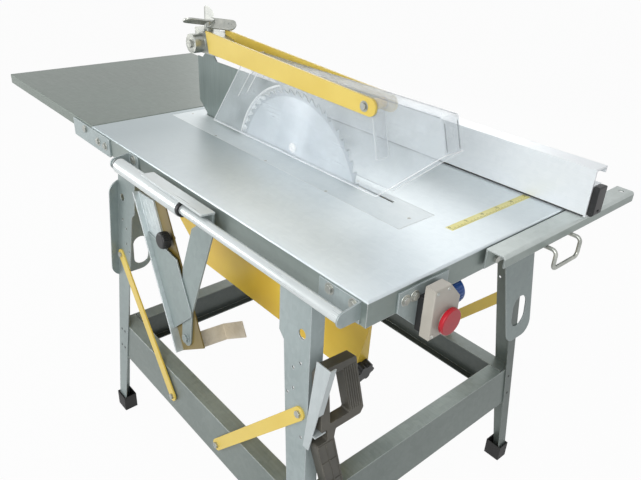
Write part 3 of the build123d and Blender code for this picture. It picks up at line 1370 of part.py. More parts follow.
def make_knife_clamp():
    """Jaws that hold the knife on the lower guard's right wall."""
    half = KNIFE_THICK / 2
    right = block((BLADE_X + half, GUARD_X[1] - GUARD_WALL), CLAMP_Y, CLAMP_Z)
    left = block((BLADE_X - half - CLAMP_JAW, BLADE_X - half), CLAMP_Y, CLAMP_Z)
    drill = clamp_rod(BOLT_RADIUS + HOLE_FIT, 0.0)
    return group([right - drill, left - drill])


def clamp_rod(radius, head):
    """Bar through the knife's clamp, from its left face into its right jaw."""
    y, z = clamp_bolt()
    left = BLADE_X - KNIFE_THICK / 2 - CLAMP_JAW
    return rod((left - head, y, z), (BLADE_X + 3 * CLAMP_JAW, y, z), radius)


def make_clamp_bolt():
    """Bolt that squeezes the knife's clamp."""
    y, z = clamp_bolt()
    left = BLADE_X - KNIFE_THICK / 2 - CLAMP_JAW
    return clamp_rod(BOLT_RADIUS, 0.0) + hexagon((left - HEX_HEAD, y, z), (left, y, z), HEX_RADIUS)


ARM_LEFT_X = (BLADE_X - ARM_BAR_SPREAD - ARM_BAR_SHEET / 2, BLADE_X - ARM_BAR_SPREAD + ARM_BAR_SHEET / 2)
CHEEK_LEFT_X = (ARM_LEFT_X[1], ARM_LEFT_X[1] + SADDLE_SHEET)


def over_blade(x):
    """The same span on the other side of the blade."""
    return (2 * BLADE_X - x[1], 2 * BLADE_X - x[0])


def make_guard_arm(x):
    """Yellow flat bar that narrows to a round front end."""
    end_y, end_z = ARM_END
    low, high = end_z - ARM_BAR_HALF, end_z + ARM_BAR_HALF
    face = outline([ARM_REAR_TOP, ARM_REAR_LOW, (end_y, low), (end_y, high)])
    face += disc_at(ARM_END, ARM_BAR_HALF)
    face -= disc_at(ARM_FRONT, FRONT_BOLT_RADIUS + HOLE_FIT)
    return side_plate(face, x)


def saddle_top(y, drop):
    """Place on the saddle's sloping web, a distance under its upper face."""
    tilt = math.radians(SADDLE_TILT)
    return (y, SADDLE_TOP + (y - HINGE_AT[0]) * math.tan(tilt) - drop / math.cos(tilt))


def wing_axis(share):
    """Place on the wing screw's axis, a distance over the saddle's web."""
    tilt = math.radians(SADDLE_TILT)
    return (BLADE_X, HINGE_AT[0] - share * math.sin(tilt), SADDLE_TOP + share * math.cos(tilt))


def make_saddle():
    """Saddle that joins the arms: two cheeks, a sloping top web and a round boss on each side."""
    cheek_face = outline([
        saddle_top(SADDLE_FRONT, 0.0),
        (SADDLE_FRONT, SADDLE_LOW),
        (HINGE_AT[0], HINGE_AT[1] - HINGE_DISC_RADIUS),
        (HINGE_AT[0] + HINGE_DISC_RADIUS, HINGE_AT[1]),
        saddle_top(SADDLE_WEB_REAR, 0.0),
    ])
    cheek_face += disc_at(HINGE_AT, HINGE_DISC_RADIUS)
    bore = disc_at(HINGE_AT, HINGE_RADIUS + RUN_FIT)
    boss_left = (CHEEK_LEFT_X[0] - HINGE_DISC_THICK, CHEEK_LEFT_X[0])
    web = outline([
        saddle_top(SADDLE_FRONT, 0.0),
        saddle_top(SADDLE_WEB_REAR, 0.0),
        saddle_top(SADDLE_WEB_REAR, SADDLE_SHEET),
        saddle_top(SADDLE_FRONT, SADDLE_SHEET),
    ])
    saddle = side_plate(web, (CHEEK_LEFT_X[0], over_blade(CHEEK_LEFT_X)[1]))
    for cheek, boss in ((CHEEK_LEFT_X, boss_left), (over_blade(CHEEK_LEFT_X), over_blade(boss_left))):
        saddle += side_plate(cheek_face - bore, cheek)
        saddle += side_plate(disc_at(HINGE_AT, HINGE_DISC_RADIUS) - bore, boss)
    hole = rod(wing_axis(-2 * SADDLE_SHEET), wing_axis(SADDLE_SHEET), WING_STUD_RADIUS + RUN_FIT)
    return saddle - hole


def make_hinge_bolt():
    """Bolt through knife and saddle on which the guard lifts."""
    y, z = HINGE_AT
    left = CHEEK_LEFT_X[0] - HINGE_DISC_THICK - LIE_GAP
    right = 2 * BLADE_X - left
    bolt = rod((left, y, z), (right, y, z), HINGE_RADIUS)
    bolt += hexagon((left - HEX_HEAD, y, z), (left, y, z), HEX_RADIUS)
    return bolt + hexagon((right, y, z), (right + HEX_HEAD, y, z), HEX_RADIUS)


def make_spacer():
    """Tube between the arms' front ends, on which the hood hangs."""
    x = (ARM_LEFT_X[1], over_blade(ARM_LEFT_X)[0])
    ring = disc_at(ARM_FRONT, SPACER_RADIUS) - disc_at(ARM_FRONT, FRONT_BOLT_RADIUS + HOLE_FIT)
    return side_plate(ring, x)


def make_front_bolt():
    """Long bolt through arms and spacer."""
    y, z = ARM_FRONT
    left, right = ARM_LEFT_X[0], over_blade(ARM_LEFT_X)[1]
    bolt = rod((left, y, z), (right, y, z), FRONT_BOLT_RADIUS)
    bolt += hexagon((left - BOLT_HEAD, y, z), (left, y, z), BOLT_HEAD_RADIUS)
    return bolt + hexagon((right, y, z), (right + BOLT_HEAD, y, z), BOLT_HEAD_RADIUS)


def hood_fold(edge):
    """Whether an edge of the hood's outer shape is folded round: along its top and down its front."""
    low = edge.bounding_box().min.Z
    middle = edge.center()
    across = abs(middle.X - BLADE_X) < HOOD_HALF - HOOD_WALL
    over_front = middle.Y < HOOD_LEAD[0]
    if across:
        return over_front and low > HOOD_NOSE[1] + HOOD_WALL
    return low > HOOD_NOSE[1] - HOOD_WALL and (over_front or low > HOOD_TOP[0][1] - HOOD_WALL)


def make_hood():
    """Clear inverted channel over the blade: two walls, a top and a front."""
    points = [HOOD_TOP[0], HOOD_TOP[1], HOOD_NOSE, HOOD_LEAD, HOOD_TAIL]
    outer_x = (BLADE_X - HOOD_HALF, BLADE_X + HOOD_HALF)
    inner_x = (outer_x[0] + HOOD_WALL, outer_x[1] - HOOD_WALL)
    face = outline(points)
    hollow = offset(face, amount=-HOOD_WALL, kind=Kind.INTERSECTION)
    shape = side_plate(face, outer_x)
    folded = [edge for edge in shape.edges() if hood_fold(edge)]
    hood = fillet(folded, HOOD_ROUND) - side_plate(hollow, inner_x)
    span_y = (HOOD_LEAD[0] - 2 * HOOD_HALF, HOOD_TAIL[0])
    span = block(inner_x, span_y, (HOOD_LEAD[1], HOOD_LEAD[1] + HOOD_WALL))
    tail = outline([
        (HOOD_TOP[0][0] - HOOD_WALL, HOOD_TOP[0][1] - HOOD_WALL),
        (HOOD_TAIL[0] - 2 * HOOD_WALL, HOOD_TAIL[1]),
        (HOOD_TAIL[0] + HOOD_WALL, HOOD_TAIL[1]),
        (HOOD_TOP[0][0] + HOOD_WALL, HOOD_TOP[0][1] - HOOD_WALL),
    ])
    lead = outline([HOOD_NOSE, HOOD_LEAD, (HOOD_LEAD[0] + 3 * HOOD_WALL, HOOD_LEAD[1] + HOOD_WALL),
                    (HOOD_NOSE[0] + 3 * HOOD_WALL, HOOD_NOSE[1])])
    hood = hood - span - side_plate(tail, inner_x) - side_plate(lead, inner_x)
    return hood - side_plate(disc_at(ARM_FRONT, SPACER_RADIUS + RUN_FIT), outer_x)


def make_wing_screw():
    """Large winged screw on the saddle, with three pitched wings."""
    tip = -(SADDLE_TOP - HINGE_AT[1] - KNIFE_NECK_RADIUS - 3 * FIT)
    screw = rod(wing_axis(tip), wing_axis(WING_HUB_HEIGHT), WING_STUD_RADIUS)
    screw += rod(wing_axis(LIE_GAP), wing_axis(WING_HUB_HEIGHT), WING_HUB_RADIUS)
    length = WING_REACH - WING_WIDTH / 2
    face = Pos(length / 2, 0) * Rectangle(length, WING_WIDTH) + Pos(length, 0) * Circle(WING_WIDTH / 2)
    wing = Pos(0, 0, -WING_SHEET / 2) * extrude(face, amount=WING_SHEET)
    lean = Pos(*wing_axis(WING_HUB_HEIGHT * 0.62)) * Rot(SADDLE_TILT, 0, 0)
    for index in range(WING_COUNT):
        turn = Rot(0, 0, WING_START + 360 / WING_COUNT * index) * Rot(0, -WING_RISE, 0) * Rot(WING_PITCH, 0, 0)
        screw += lean * (turn * wing)
    return screw


def upper_guard_parts():
    """Riving knife, guard arms and hood."""
    return {
        "riving_knife": make_knife(),
        "knife_clamp": make_knife_clamp(),
        "guard_hinge_bolt": make_hinge_bolt(),
        "guard_arm_left": make_guard_arm(ARM_LEFT_X),
        "guard_arm_right": make_guard_arm(over_blade(ARM_LEFT_X)),
        "guard_saddle": make_saddle(),
        "guard_spacer": make_spacer(),
        "guard_front_bolt": make_front_bolt(),
        "hood": make_hood(),
        "wing_screw": make_wing_screw(),
    }


# Switch


def switch_levels():
    """Depths of the switch's faces: back, joint between base and lid, and front."""
    back = -SWITCH_BRACKET_SHEET
    joint = back - SWITCH_BASE_DEPTH
    return back, joint, joint - SWITCH_LID_DEPTH


def rectangle(x, z):
    """Upright rectangle as a face."""
    return outline([(x[0], z[0]), (x[1], z[0]), (x[1], z[1]), (x[0], z[1])])


def make_switch_base():
    """Black rear half of the switch: a shallow box."""
    back, joint, front = switch_levels()
    face = rectangle(SWITCH_X, SWITCH_BASE_Z)
    base = front_plate(face, (joint, back))
    return base - front_plate(offset(face, amount=-SWITCH_WALL), (joint, back - SWITCH_WALL))


def make_switch_lid():
    """Pale front half of the switch, with one cut corner and the button's hole."""
    back, joint, front = switch_levels()
    x, z = SWITCH_X, SWITCH_Z
    cut_x, cut_z = SWITCH_CHAMFER
    face = outline([(x[0], z[0]), (x[1], z[0]), (x[1], z[1] - cut_z), (x[1] - cut_x, z[1]), (x[0], z[1])])
    lid = front_plate(face, (front, joint))
    lid = fillet(lid.faces().sort_by(Axis.Y)[0].edges(), SWITCH_WALL)
    inside = offset(rectangle(x, SWITCH_BASE_Z), amount=-SWITCH_WALL)
    lid -= front_plate(inside, (front + SWITCH_WALL, joint))
    return lid - front_plate(disc_at(STOP_AT, STOP_STEM_RADIUS + RUN_FIT), (front, front + SWITCH_WALL))


def make_stop_button():
    """Large red stop button on its stem."""
    front = switch_levels()[2]
    face = front - STOP_STANDOFF
    cap = front_plate(disc_at(STOP_AT, STOP_RADIUS), (face - STOP_THICK, face))
    cap = fillet(cap.edges().filter_by(GeomType.CIRCLE).sort_by(Axis.Y)[0], STOP_THICK / 3)
    return cap + front_plate(disc_at(STOP_AT, STOP_STEM_RADIUS), (face, front + SWITCH_WALL + LIE_GAP))


def make_switch_bracket():
    """Galvanised plate on the skirt, with a tab turned back under the table for the inlet."""
    x = SWITCH_BRACKET_X
    low, top = SWITCH_BRACKET_LOW, SWITCH_BRACKET_TOP
    toe = (x[0] + SWITCH_BRACKET_SLOPE, low)
    face = outline([(x[0], top), (x[0], SKIRT_LOW), toe, (x[1], low), (x[1], top)])
    plate = front_plate(face, (-SWITCH_BRACKET_SHEET, 0))
    for bolt_x in SWITCH_BOLT_X:
        hole = disc_at((bolt_x, SWITCH_BOLT_Z), BOLT_RADIUS + HOLE_FIT)
        plate -= front_plate(hole, (-SWITCH_BRACKET_SHEET, 0))
    tab_x = (x[1] - SWITCH_BRACKET_SHEET, x[1])
    return plate + block(tab_x, (-SWITCH_BRACKET_SHEET, SWITCH_TAB_DEPTH), (low, SKIRT_LOW - SWITCH_TAB_GAP))


def make_inlet():
    """Round blue power inlet on the bracket's tab, open to the right."""
    y = SWITCH_TAB_DEPTH / 2
    start = SWITCH_BRACKET_X[1]
    end = start + INLET_LENGTH
    inlet = rod((start, y, INLET_Z), (end, y, INLET_Z), INLET_RADIUS)
    return inlet - rod((start + INLET_FLOOR, y, INLET_Z), (end, y, INLET_Z), INLET_BORE)


def switch_parts():
    """Switch, stop button, bracket and inlet."""
    return {
        "switch_base": make_switch_base(),
        "switch_lid": make_switch_lid(),
        "stop_button": make_stop_button(),
        "switch_bracket": make_switch_bracket(),
        "power_inlet": make_inlet(),
    }


# Push stick


def make_holder():
    """Strip on the front left leg with a front lip and a foot tab that the push stick stands on."""
    foot, head = HOLDER_FOOT, HOLDER_HEAD
    corners = [(foot[1], foot[2]), (foot[0], foot[2]), (head[0], head[2]), (head[1], head[2])]
    holder = on_side(corners, -HOLDER_SHEET)
    edge = lambda z: foot[0] + (head[0] - foot[0]) * (z - foot[2]) / (head[2] - foot[2])
    low = HOLDER_LIP_LOW
    spread = ((low, -HOLDER_SHEET), (head[2], -HOLDER_SHEET), (head[2], HOLDER_LIP), (low, HOLDER_LIP))
    corners = [(leg_x(z) + side, edge(z), z) for z, side in spread]
    holder += extrude(outline(corners), amount=HOLDER_SHEET, dir=(0, 1, 0))
    tab_z = (STICK_SHOULDER - HOLDER_TAB_SHEET, STICK_SHOULDER)
    rear = leg_y(tab_z[0]) - STICK_GAP
    tab_x = (leg_x(tab_z[0]) - HOLDER_SHEET / 2, HOLDER_TAB)
    return holder + block(tab_x, (rear - STICK_THICK, rear), tab_z)


def make_push_stick():
    """Moulded push stick with a closed handle, flat in front of the leg's end flange."""
    lay = lambda points: [(x, up_slope(z)) for x, z in points]
    face = fillet(outline(lay(STICK_OUTER)).vertices(), STICK_ROUND)
    hole = fillet(outline(lay(STICK_HOLE)).vertices(), STICK_ROUND)
    return extrude(end_plane(STICK_GAP) * (face - hole), amount=STICK_THICK)


def stick_parts():
    """Push stick and its holder."""
    return {"push_stick_holder": make_holder(), "push_stick": make_push_stick()}


# Fasteners


def skirt_bolt(x, y, z, out):
    """Hexagon bolt that stands out of a flat plate, with its shank through the skirt."""
    place = Vector(x, y, z)
    way = Vector(*out)
    bolt = hexagon(place, place + way * BOLT_HEAD, BOLT_HEAD_RADIUS)
    return bolt + rod(place, place - way * BOLT_TAIL, BOLT_RADIUS)


def make_fasteners():
    """Bolts, screws, spacers and hinge pins of the fixed frame, as separate solids."""
    bolts = make_insert_screws() + make_extension_pins() + [make_clamp_bolt()]
    for bolt in make_brace_bolts():
        bolts += [bolt, to_right(bolt), to_rear(bolt), to_rear(to_right(bolt))]
    bolts += [skirt_bolt(-BRACKET_SHEET, y, BRACKET_BOLT_Z, (-1, 0, 0)) for y in tube_bracket_bolts()]
    for y in EXT_BOLT_Y:
        bolt = skirt_bolt(-EXT_BRACKET_SHEET, y, ext_bolt_z(), (-1, 0, 0))
        bolts += [bolt, to_right(bolt)]
    bolts += [skirt_bolt(x, -SWITCH_BRACKET_SHEET, SWITCH_BOLT_Z, (0, -1, 0)) for x in SWITCH_BOLT_X]
    for x in RAIL_SPACER_X:
        z = TABLE_HEIGHT - RAIL_SPACER_DROP
        spacer = rod((x, -RAIL_BAR_GAP, z), (x, 0, z), RAIL_SPACER_RADIUS)
        head = -RAIL_BAR_GAP - RAIL_BAR_SHEET
        spacer += rod((x, head, z), (x, -RAIL_BAR_GAP, z), BOLT_RADIUS)
        spacer += hexagon((x, head - BOLT_HEAD, z), (x, head, z), BOLT_HEAD_RADIUS)
        bolts.append(spacer)
    return group(bolts)


def drill_skirt(table):
    """Holes in the table's skirt for the bracket bolts."""
    grow = BOLT_RADIUS + HOLE_FIT
    deep = 2 * TABLE_SHEET
    for y in tube_bracket_bolts():
        table -= rod((0, y, BRACKET_BOLT_Z), (deep, y, BRACKET_BOLT_Z), grow)
    for y in EXT_BOLT_Y:
        table -= rod((0, y, ext_bolt_z()), (deep, y, ext_bolt_z()), grow)
        table -= rod((TABLE_WIDTH - deep, y, ext_bolt_z()), (TABLE_WIDTH, y, ext_bolt_z()), grow)
    for x in SWITCH_BOLT_X:
        table -= rod((x, 0, SWITCH_BOLT_Z), (x, deep, SWITCH_BOLT_Z), grow)
    return table


def build_pieces():
    """Every node of the object in the machine frame."""
    pieces = {"table_top": drill_skirt(make_table_top()), "table_insert": make_insert()}
    pieces.update(stand_parts())
    pieces.update(carriage_parts())
    pieces.update(fence_parts())
    pieces["extension_table"] = make_extension()
    pieces["extension_brackets"] = make_extension_brackets()
    pieces.update(saw_parts())
    pieces.update(upper_guard_parts())
    pieces.update(switch_parts())
    pieces.update(stick_parts())
    pieces["fasteners"] = make_fasteners()
    return pieces


def frame_shift(pieces):
    """Move that puts the origin on the floor under the middle of the whole object."""
    boxes = [piece.bounding_box() for piece in pieces.values()]
    low = Vector(*(min(getattr(box.min, axis) for box in boxes) for axis in "XYZ"))
    high = Vector(*(max(getattr(box.max, axis) for box in boxes) for axis in "XYZ"))
    middle = (low + high) * 0.5
    return Vector(-middle.X, -middle.Y, -low.Z)


def main():
    """Build, place and write every node."""
    os.makedirs("parts", exist_ok=True)
    pieces = build_pieces()
    shift = frame_shift(pieces)
    for name, piece in pieces.items():
        export_step(Pos(shift.X, shift.Y, shift.Z) * piece, f"parts/{name}.step")
    print(len(pieces), "nodes, moved by", shift)


if __name__ == "__main__":
    main()
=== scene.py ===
"""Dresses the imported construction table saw.

Every node of the saw gets a finish of its own, and the small pieces that the solids leave out are
added: tooth tips, scale, washers, ribs, pins and rims. Lengths are in millimetres of the machine,
measured from the table's front left edge and the floor, and become metres of the frame where a
mesh is made.
"""
import json
import logging
import math
from collections.abc import Sequence
from dataclasses import dataclass, field
from enum import Enum

import bmesh
import bpy
from mathutils import Matrix, Vector

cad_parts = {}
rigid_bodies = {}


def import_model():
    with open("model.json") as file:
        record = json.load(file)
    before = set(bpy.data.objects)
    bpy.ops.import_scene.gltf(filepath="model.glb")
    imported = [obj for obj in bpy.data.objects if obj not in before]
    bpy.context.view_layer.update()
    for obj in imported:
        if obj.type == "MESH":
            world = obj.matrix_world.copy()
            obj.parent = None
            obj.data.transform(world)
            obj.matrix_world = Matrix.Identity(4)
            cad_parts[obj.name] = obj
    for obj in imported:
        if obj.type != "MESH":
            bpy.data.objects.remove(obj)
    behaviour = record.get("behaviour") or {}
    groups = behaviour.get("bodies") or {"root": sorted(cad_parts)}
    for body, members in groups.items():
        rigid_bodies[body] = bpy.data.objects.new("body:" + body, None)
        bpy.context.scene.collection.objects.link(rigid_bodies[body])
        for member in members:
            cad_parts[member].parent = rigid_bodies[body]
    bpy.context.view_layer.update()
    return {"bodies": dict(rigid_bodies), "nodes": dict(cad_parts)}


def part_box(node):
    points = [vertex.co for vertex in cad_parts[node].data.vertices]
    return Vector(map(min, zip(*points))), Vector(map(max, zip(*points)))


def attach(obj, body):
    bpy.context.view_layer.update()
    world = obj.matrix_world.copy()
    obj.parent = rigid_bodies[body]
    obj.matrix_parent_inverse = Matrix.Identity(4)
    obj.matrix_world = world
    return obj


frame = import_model()

Pair = tuple[float, float]
Triple = tuple[float, float, float]
Colour = tuple[float, float, float, float]
Profile = Sequence[Pair]
Spots = Sequence[tuple[Vector, Vector]]
Mesh = bpy.types.Mesh
Material = bpy.types.Material
Socket = bpy.types.NodeSocket

LOG = logging.getLogger("table_saw")
MM = 0.001
TABLE_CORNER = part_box("table_top")[0]
BLADE_CENTRE: Triple = (297.0, 542.0, 777.0)

# Directions, and the turn that lays a ring about the upright axis round the crosswise one.
FLAT = Matrix.Identity(4)
ROUND_X = Matrix(((0, 0, 1, 0), (1, 0, 0, 0), (0, 1, 0, 0), (0, 0, 0, 1)))
LEFT, RIGHT = Vector((-1.0, 0.0, 0.0)), Vector((1.0, 0.0, 0.0))
FRONT = Vector((0.0, -1.0, 0.0))

# Where most values of one noise lie, and those of two noises added up.
NOISE: Pair = (0.3, 0.7)
TWO_NOISES: Pair = (0.6, 1.4)
WHOLE: Pair = (0.0, 1.0)

# How a colour code becomes a linear colour.
CODE_FULL = 255
KNEE, SLOPE, LIFT, POWER = 0.04045, 12.92, 0.055, 2.4
WHITE: Colour = (1.0, 1.0, 1.0, 1.0)

# Edges that bend by more than this stay sharp.
SHARP = math.radians(35.0)


def at(x: float, y: float, z: float) -> Vector:
    """A place on the machine, in millimetres, as a point of the frame."""
    return Vector((TABLE_CORNER.x + x * MM, TABLE_CORNER.y + y * MM, z * MM))


def tint(code: str) -> Colour:
    """Turns a six-digit colour code into the linear colour that a shader takes.

    Args:
        code: Red, green and blue as three pairs of hexadecimal digits.

    Returns:
        The linear colour with full opacity.
    """
    parts = [int(code[i:i + 2], 16) / CODE_FULL for i in (0, 2, 4)]
    linear = [c / SLOPE if c <= KNEE else ((c + LIFT) / (1.0 + LIFT)) ** POWER for c in parts]
    return (*linear, 1.0)


def stand(place: Vector, axis: Vector) -> Matrix:
    """The turn and place that put a shape's own up direction along an axis."""
    return Matrix.Translation(place) @ axis.to_track_quat("Z", "Y").to_matrix().to_4x4()


def axes(first: Vector, second: Vector, third: Vector) -> Matrix:
    """The turn that lays a shape's own three axes along three directions."""
    return Matrix((first, second, third)).transposed().to_4x4()


class Nodes:
    """A node tree that grows by short calls."""

    def __init__(self, tree: bpy.types.NodeTree) -> None:
        """Takes a tree over as it is."""
        self.tree = tree

    def feed(self, socket: Socket, value: object) -> None:
        """Links a socket to another one, or sets its number or colour.

        Args:
            socket: The input that is fed.
            value: The socket that feeds it, or what it is set to.
        """
        if isinstance(value, Socket):
            self.tree.links.new(value, socket)
        else:
            socket.default_value = value

    def node(self, kind: str, inputs: dict | None = None, **settings: object) -> bpy.types.Node:
        """Adds one node.

        Args:
            kind: Blender's name of the node.
            inputs: Sockets by name or number, with what goes into them.
            **settings: The node's own choices.

        Returns:
            The new node.
        """
        made = self.tree.nodes.new(kind)
        for key, value in settings.items():
            setattr(made, key, value)
        for key, value in (inputs or {}).items():
            self.feed(made.inputs[key], value)
        return made

    def blend(self, share: object, first: object, second: object) -> Socket:
        """Mixes two colours, by the colour sockets of a Mix node."""
        inputs = {0: share, 6: first, 7: second}
        return self.node("ShaderNodeMix", inputs, data_type="RGBA").outputs[2]

    def sums(self, first: object, second: object, operation: str = "ADD") -> Socket:
        """One step of arithmetic."""
        return self.node("ShaderNodeMath", {0: first, 1: second}, operation=operation).outputs[0]


class Graph(Nodes):
    """The node tree of one material."""

    BEVEL_SAMPLES = 4
    EDGE_MATCH: Pair = (0.985, 0.84)

    def __init__(self, name: str) -> None:
        """Starts a material with a shader and the piece's own coordinates.

        Args:
            name: The material's name.
        """
        self.material = bpy.data.materials.new(name)
        self.material.use_nodes = True
        super().__init__(self.material.node_tree)
        self.tree.nodes.clear()
        self.shader = self.node("ShaderNodeBsdfPrincipled")
        self.output = self.node("ShaderNodeOutputMaterial", {"Surface": self.shader.outputs[0]})
        self.place = self.node("ShaderNodeTexCoord").outputs["Object"]

    def set(self, **values: object) -> None:
        """Feeds the shader, with underscores in the names for spaces."""
        for key, value in values.items():
            self.feed(self.shader.inputs[key.replace("_", " ")], value)

    def noise(self, scale: float, stretch: Triple | None = None, detail: float = 3.0,
              vector: Socket | None = None) -> Socket:
        """Soft noise on the piece's coordinates.

        Args:
            scale: How many waves go into a metre.
            stretch: The share of the scale along each axis, where the noise is pulled out.
            detail: How many finer waves lie on it.
            vector: Where it is read instead of the piece's coordinates.

        Returns:
            The noise as a number.
        """
        vector = vector or self.place
        if stretch:
            vector = self.node("ShaderNodeMapping", {"Vector": vector, "Scale": stretch}).outputs[0]
        inputs = {"Vector": vector, "Scale": scale, "Detail": detail}
        return self.node("ShaderNodeTexNoise", inputs).outputs[0]

    def span(self, value: Socket, ends: Sequence[float], to: Sequence[float]) -> Socket:
        """Maps a range of values to another one, clamped."""
        inputs = {"Value": value, "From Min": ends[0], "From Max": ends[1],
                  "To Min": to[0], "To Max": to[1]}
        return self.node("ShaderNodeMapRange", inputs).outputs[0]

    def weigh(self, value: Socket, share: float, ends: Pair = NOISE) -> Socket:
        """Maps a noise to between nothing and a share."""
        return self.span(value, ends, (0.0, share))

    def reach(self, centre: Triple) -> Socket:
        """The distance from a place on the machine.

        Args:
            centre: The place, in millimetres.

        Returns:
            The distance in metres.
        """
        inputs = {0: self.place, 1: at(*centre)}
        offset = self.node("ShaderNodeVectorMath", inputs, operation="SUBTRACT").outputs[0]
        length = self.node("ShaderNodeVectorMath", {0: offset}, operation="LENGTH")
        return length.outputs["Value"]

    def rounded(self, radius: float) -> Socket:
        """The normal as it would be with its edges rounded off."""
        inputs = {"Radius": radius * MM}
        return self.node("ShaderNodeBevel", inputs, samples=self.BEVEL_SAMPLES).outputs[0]

    def edges(self, rounded: Socket) -> Socket:
        """A mask of the piece's edges.

        Args:
            rounded: The normal with its edges rounded off.

        Returns:
            One on the edges and nothing on the flats.
        """
        inputs = {0: rounded, 1: self.node("ShaderNodeNewGeometry").outputs["Normal"]}
        match = self.node("ShaderNodeVectorMath", inputs, operation="DOT_PRODUCT")
        return self.span(match.outputs["Value"], self.EDGE_MATCH, WHOLE)

    def relief(self, height: Socket, bump: Pair, normal: Socket | None = None) -> None:
        """Puts a bump on the surface.

        Args:
            height: What stands up and what lies deep.
            bump: The bump's strength, and its depth in millimetres.
            normal: The normal that it starts from, if not the surface's own.
        """
        inputs = {"Height": height, "Strength": bump[0], "Distance": bump[1] * MM}
        if normal:
            inputs["Normal"] = normal
        self.set(Normal=self.node("ShaderNodeBump", inputs).outputs[0])


class Grain(Enum):
    """The way that a sheet was rolled or a profile drawn, as a stretch of its noise."""

    CROSSWISE = (0.05, 1.0, 1.0)
    LENGTHWISE = (1.0, 0.05, 1.0)
    UPRIGHT = (1.0, 1.0, 0.05)


@dataclass(frozen=True)
class SheetSteel:
    """Steel sheet with clouds, a fine crystal pattern, rolling streaks and a painted highlight on
    its edges.

    It can paint shade: darker tones below a height, and a darker tone towards the rear.
    """

    name: str
    tone: str
    deep: str
    # The pale tone of the painted highlight on the edges.
    edge: str = "e6eaec"
    metallic: float = 0.45
    roughness: Pair = (0.32, 0.48)
    cloud: float = 4.0
    spangle: float = 90.0
    grain: Grain = Grain.LENGTHWISE
    streak: float = 220.0
    shares: Triple = (0.58, 0.20, 0.22)
    bump: float = 0.08
    bump_depth: float = 0.15
    bevel: float = 1.2
    edge_highlight_share: float = 0.75
    side_shade: tuple[str, str] | None = None
    side_shade_below: float = 0.0
    side_shade_fade: float = 1.5
    rear_shade: str = ""
    rear_shade_over: Pair = (0.0, 0.0)
    rear_shade_share: float = 0.85

    def material(self) -> Material:
        """Builds the finish.

        Returns:
            The material.
        """
        g = Graph(self.name)
        clouds = g.noise(self.cloud, detail=4.0)
        inputs = {"Vector": g.place, "Scale": self.spangle}
        cells = g.node("ShaderNodeTexVoronoi", inputs).outputs["Color"]
        crystal = g.node("ShaderNodeSeparateColor", {0: cells}).outputs[0]
        streaks = g.noise(self.streak, self.grain.value, detail=2.0)
        cloudy, streaky, crystalline = self.shares
        mixed = g.sums(g.weigh(clouds, cloudy), g.weigh(streaks, streaky))
        mixed = g.sums(mixed, g.weigh(crystal, crystalline, WHOLE))
        base = g.blend(mixed, tint(self.deep), tint(self.tone))
        axis = g.node("ShaderNodeSeparateXYZ", {0: g.place}).outputs
        # Painted shade: the tone darkens towards the rear.
        if self.rear_shade:
            ends = [at(0.0, y, 0.0).y for y in self.rear_shade_over]
            base = g.blend(g.weigh(axis["Y"], self.rear_shade_share, ends), base, tint(self.rear_shade))
        # Painted shade: faces below the given height take a darker pair of tones.
        if self.side_shade:
            ends = (self.side_shade_below * MM, (self.side_shade_below - self.side_shade_fade) * MM)
            painted_side_shade = g.blend(mixed, *map(tint, self.side_shade))
            base = g.blend(g.span(axis["Z"], ends, WHOLE), base, painted_side_shade)
        smooth = g.rounded(self.bevel)
        # Painted highlight: the edges are blended towards the pale edge tone.
        rim = g.sums(g.edges(smooth), self.edge_highlight_share, "MULTIPLY")
        g.set(Base_Color=g.blend(rim, base, tint(self.edge)), Metallic=self.metallic)
        g.set(Roughness=g.span(g.sums(clouds, streaks), TWO_NOISES, self.roughness))
        g.relief(g.sums(streaks, crystal), (self.bump, self.bump_depth), smooth)
        return g.material


@dataclass(frozen=True)
class Paint:
    """Powder paint with a fine orange peel, faint dirt and edges that are chipped to the metal."""

    name: str
    tone: str
    deep: str
    bare: str = "8d8a80"
    chips: float = 0.55
    chip: float = 140.0
    chip_over: Pair = (0.50, 0.62)
    cloud: float = 7.0
    cloud_over: Pair = (0.35, 0.7)
    peel: float = 900.0
    bump: Pair = (0.10, 0.10)
    bevel: float = 1.0
    coat: float = 0.15
    coat_roughness: float = 0.25
    roughness: Pair = (0.30, 0.44)

    def material(self) -> Material:
        """Builds the finish.

        Returns:
            The material.
        """
        g = Graph(self.name)
        clouds = g.noise(self.cloud, detail=5.0)
        peel = g.noise(self.peel, detail=1.0)
        smooth = g.rounded(self.bevel)
        spots = g.weigh(g.noise(self.chip, detail=4.0), self.chips, self.chip_over)
        worn = g.sums(g.edges(smooth), spots, "MULTIPLY")
        base = g.blend(g.span(clouds, self.cloud_over, WHOLE), tint(self.deep), tint(self.tone))
        g.set(Base_Color=g.blend(worn, base, tint(self.bare)), Metallic=0.0)
        g.set(Coat_Weight=self.coat, Coat_Roughness=self.coat_roughness)
        g.set(Roughness=g.span(clouds, NOISE, self.roughness))
        g.relief(peel, self.bump, smooth)
        return g.material


@dataclass(frozen=True)
class Moulded:
    """Moulded plastic or rubber with a fine grain, a little dust and paler edges."""

    name: str
    tone: str
    deep: str
    edge: str
    roughness: Pair = (0.36, 0.52)
    cloud: float = 16.0
    cloud_over: Pair = (0.35, 0.68)
    edge_over: Pair = (0.35, 0.6)
    edge_shares: Pair = (0.2, 0.7)
    grain: float = 1400.0
    bump: float = 0.16
    depth: float = 0.10
    bevel: float = 1.0

    def material(self) -> Material:
        """Builds the finish.

        Returns:
            The material.
        """
        g = Graph(self.name)
        clouds = g.noise(self.cloud, detail=5.0)
        skin = g.noise(self.grain, detail=1.0)
        smooth = g.rounded(self.bevel)
        base = g.blend(g.span(clouds, self.cloud_over, WHOLE), tint(self.deep), tint(self.tone))
        patchy = g.span(clouds, self.edge_over, self.edge_shares)
        rim = g.sums(g.edges(smooth), patchy, "MULTIPLY")
        g.set(Base_Color=g.blend(rim, base, tint(self.edge)), Metallic=0.0)
        g.set(Roughness=g.span(clouds, NOISE, self.roughness))
        g.relief(skin, (self.bump, self.depth), smooth)
        return g.material


